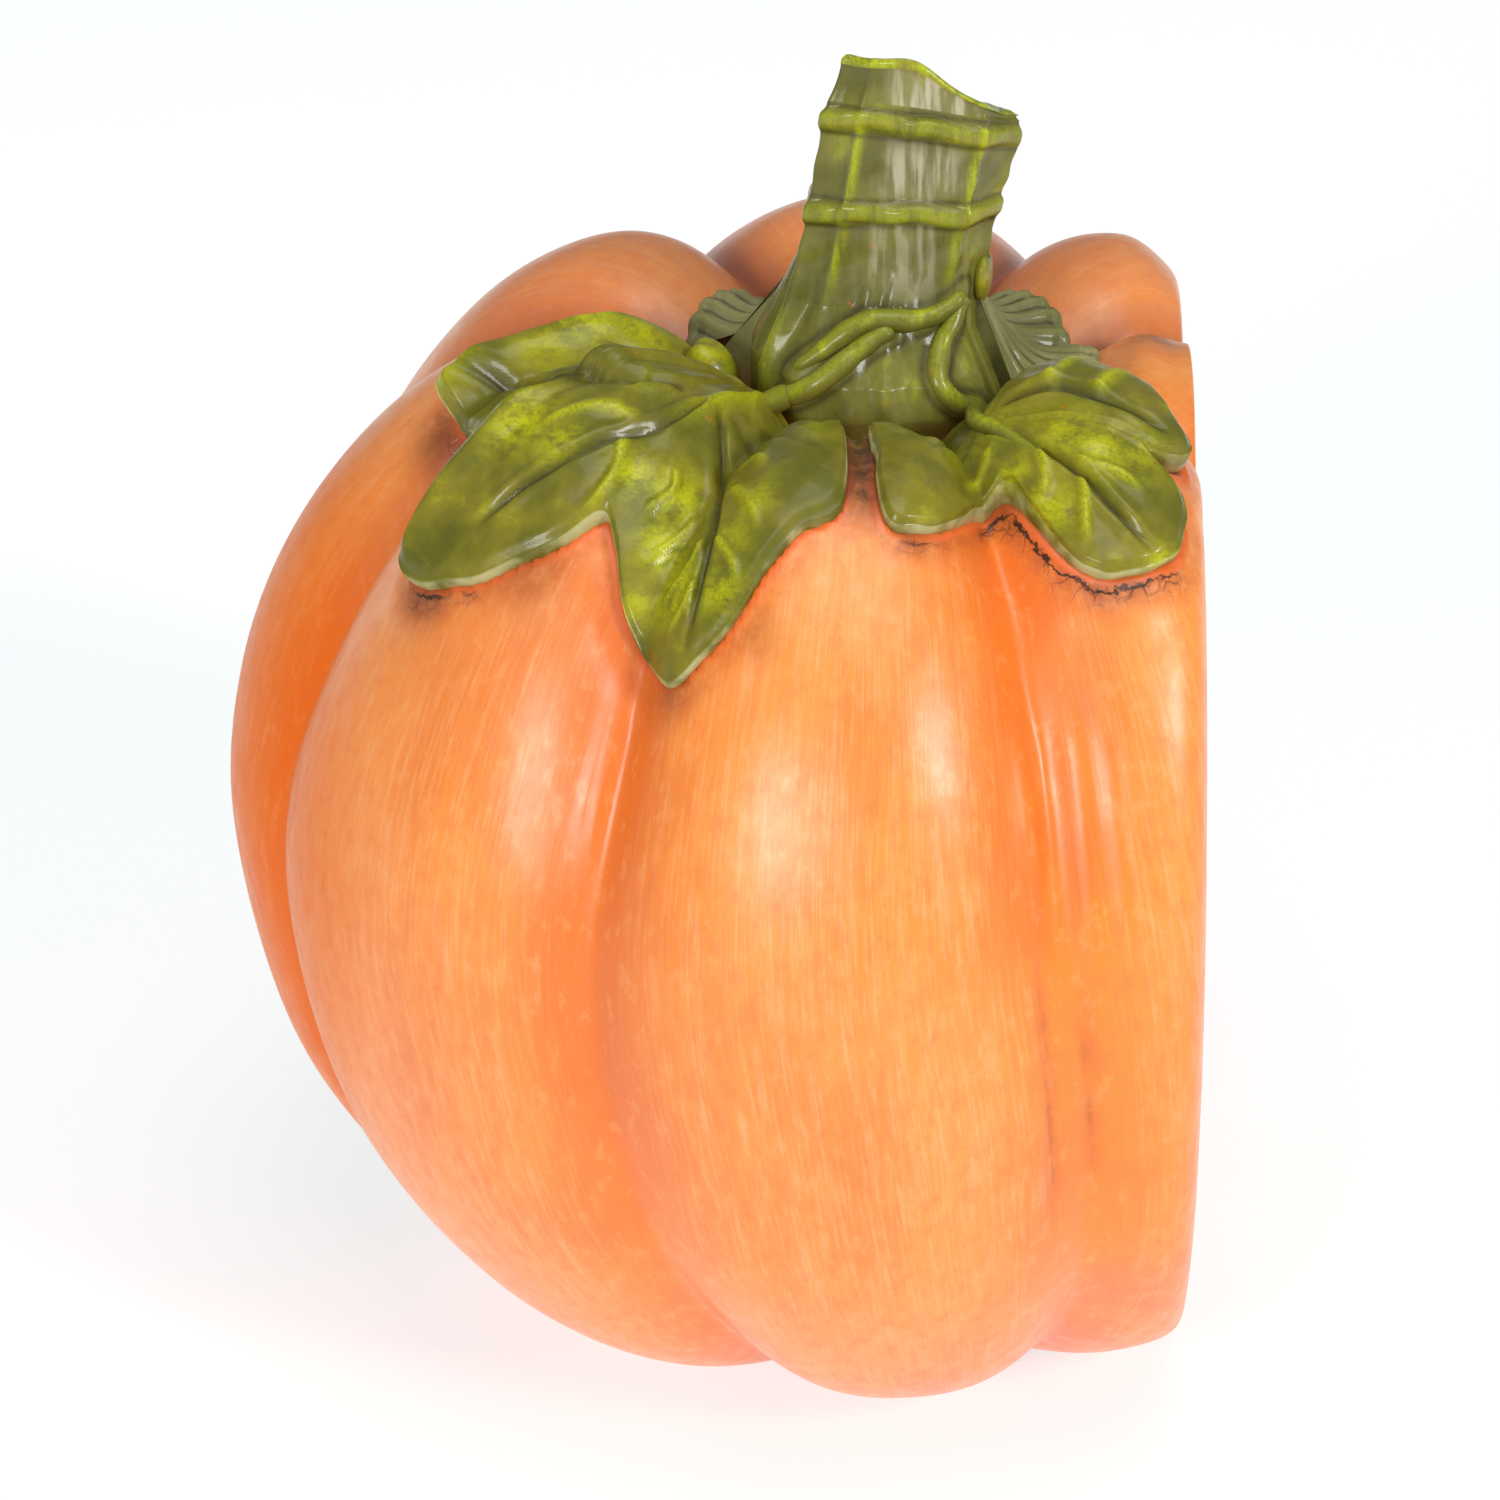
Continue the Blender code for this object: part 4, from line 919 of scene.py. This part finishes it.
rolled_strand("right_strand", "vine_right", right_run,
              (0.0020, 0.0021, 0.0023, 0.0024, 0.0024, 0.0022, 0.0019, 0.0014))
rolled_strand("left_strand", "vine_left", left_run,
              (0.0018, 0.0023, 0.0025, 0.0026, 0.0027, 0.0024, 0.0014))
rolled_strand("upper_strand", "vine_upper", upper_run,
              (0.0018, 0.0022, 0.0024, 0.0026, 0.0026, 0.0024, 0.0020, 0.0013))


# ---- Small pressed pieces --------------------------------------------------------------------
# The rolled end of the left leaf's rear lobe, and a small bract against the stem. Both are
# pinched from scraps of the same clay and pressed on.
def pinched(name, node, half, centre, tip, swing, bend, brushed):
    """An oval of clay: a sphere stretched to three half sizes, bent along its length by a
    parabola and creased along its middle, tipped about X and swung about Z."""
    v = np.linspace(0, math.pi, 60)[:, None]
    u = 2 * math.pi * np.arange(90) / 90
    px = np.sin(v) * np.cos(u)
    py = np.cos(v) * np.ones(u.shape)
    pz = np.sin(v) * np.sin(u)
    crease = 0.16 * np.exp(-(px / 0.30) ** 2) * (pz > 0) * np.sin(v)
    p = np.stack([px * half[0], py * half[1], (pz * (1 - crease) - bend * py ** 2) * half[2]], -1)
    cx, sx, cz, sz = math.cos(tip), math.sin(tip), math.cos(swing), math.sin(swing)
    p = p @ np.array([[1, 0, 0], [0, cx, sx], [0, -sx, cx]])
    p = p @ np.array([[cz, sz, 0], [-sz, cz, 0], [0, 0, 1]])
    made, used = closed_grid(name, p + centre)
    # painted shade, dark in the crease
    paint_layer(made, "vein", 4 * crease, used)
    paint_layer(made, "ridge", 0.25 * np.clip(pz, 0, 1), used)
    paint_layer(made, "brushed", brushed * np.clip(pz + 0.3, 0, 1), used)
    paint_layer(made, "outward", 0 * pz, used)
    made.data.materials.append(leaf_green)
    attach(made, "root")
    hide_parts(node)


pinched("rolled_tip", "leaf_curl", (0.0058, 0.0054, 0.0076), draped(0.0080, -0.0442, 0.0096),
        math.radians(25), math.radians(-20), 0.15, 0.9)
pinched("bract_scrap", "bract", (0.0040, 0.0019, 0.0056), on_stem(70, 0.0355, 0.0006),
        math.radians(-4), math.radians(-12), 0.0, 0.1)


# ---- Studio ----------------------------------------------------------------------------------
# A white floor, two soft boxes in front at the left and the right, a wide one above, and a pale
# even surround. The floor's own glow makes up the green and blue that its base colour swallows,
# so that the orange beside it doesn't tint it and its shadows stay grey.
floor_half = 9
floor_mesh = bpy.data.meshes.new("floor")
floor_mesh.from_pydata([(-floor_half, -floor_half, 0), (floor_half, -floor_half, 0),
                        (floor_half, floor_half, 0), (-floor_half, floor_half, 0)], [], [(0, 1, 2, 3)])
floor = bpy.data.objects.new("floor", floor_mesh)
bpy.context.scene.collection.objects.link(floor)
floor_white, tree, shader, step = new_finish("floor_white")
shader.inputs["Base Color"].default_value = (0.80, 0.40, 0.35, 1.0)
shader.inputs["Roughness"].default_value = 0.9
shader.inputs["Specular IOR Level"].default_value = 0.1
shader.inputs["Emission Color"].default_value = (0.38, 0.70, 0.74, 1.0)
shader.inputs["Emission Strength"].default_value = 1.0
floor_mesh.materials.append(floor_white)

surround = bpy.data.worlds.new("surround")
surround.use_nodes = True
surround.node_tree.nodes["Background"].inputs["Color"].default_value = (1.0, 1.0, 1.0, 1.0)
surround.node_tree.nodes["Background"].inputs["Strength"].default_value = 0.26
bpy.context.scene.world = surround

lit_middle = Vector((0.0, -0.03, 0.12))


def soft_box(name, bearing, up_angle, distance, wide, tall, power):
    """A rectangular light placed by its bearing, height and distance, facing the pumpkin."""
    b, e = math.radians(bearing), math.radians(up_angle)
    way = Vector((math.cos(e) * math.cos(b), math.cos(e) * math.sin(b), math.sin(e)))
    data = bpy.data.lights.new(name, "AREA")
    data.shape = "RECTANGLE"
    data.size = wide
    data.size_y = tall
    data.energy = power
    made = bpy.data.objects.new(name, data)
    made.location = lit_middle + way * distance
    made.rotation_euler = (-way).to_track_quat("-Z", "Y").to_euler()
    bpy.context.scene.collection.objects.link(made)


soft_box("right_box", 46, 29, 4.5, 0.90, 0.90, 80)
soft_box("left_box", -26, 21, 4.5, 1.30, 0.95, 70)
soft_box("top_box", 20, 78, 4.0, 2.8, 2.8, 62)

# a long lens on the +X side, looking down at the middle of the lobes
camera_dip = math.radians(26)
camera_distance = 1.79923
looked_at = Vector((0.0, -0.02753, 0.12177))
camera_data = bpy.data.cameras.new("camera")
camera_data.lens = 200.0
camera_data.sensor_width = 36.0
camera = bpy.data.objects.new("camera", camera_data)
camera.location = looked_at + camera_distance * Vector((math.cos(camera_dip), 0.0, math.sin(camera_dip)))
camera.rotation_euler = (math.radians(90) - camera_dip, 0.0, math.radians(90))
bpy.context.scene.collection.objects.link(camera)
bpy.context.scene.camera = camera
bpy.context.scene.view_settings.view_transform = "Standard"
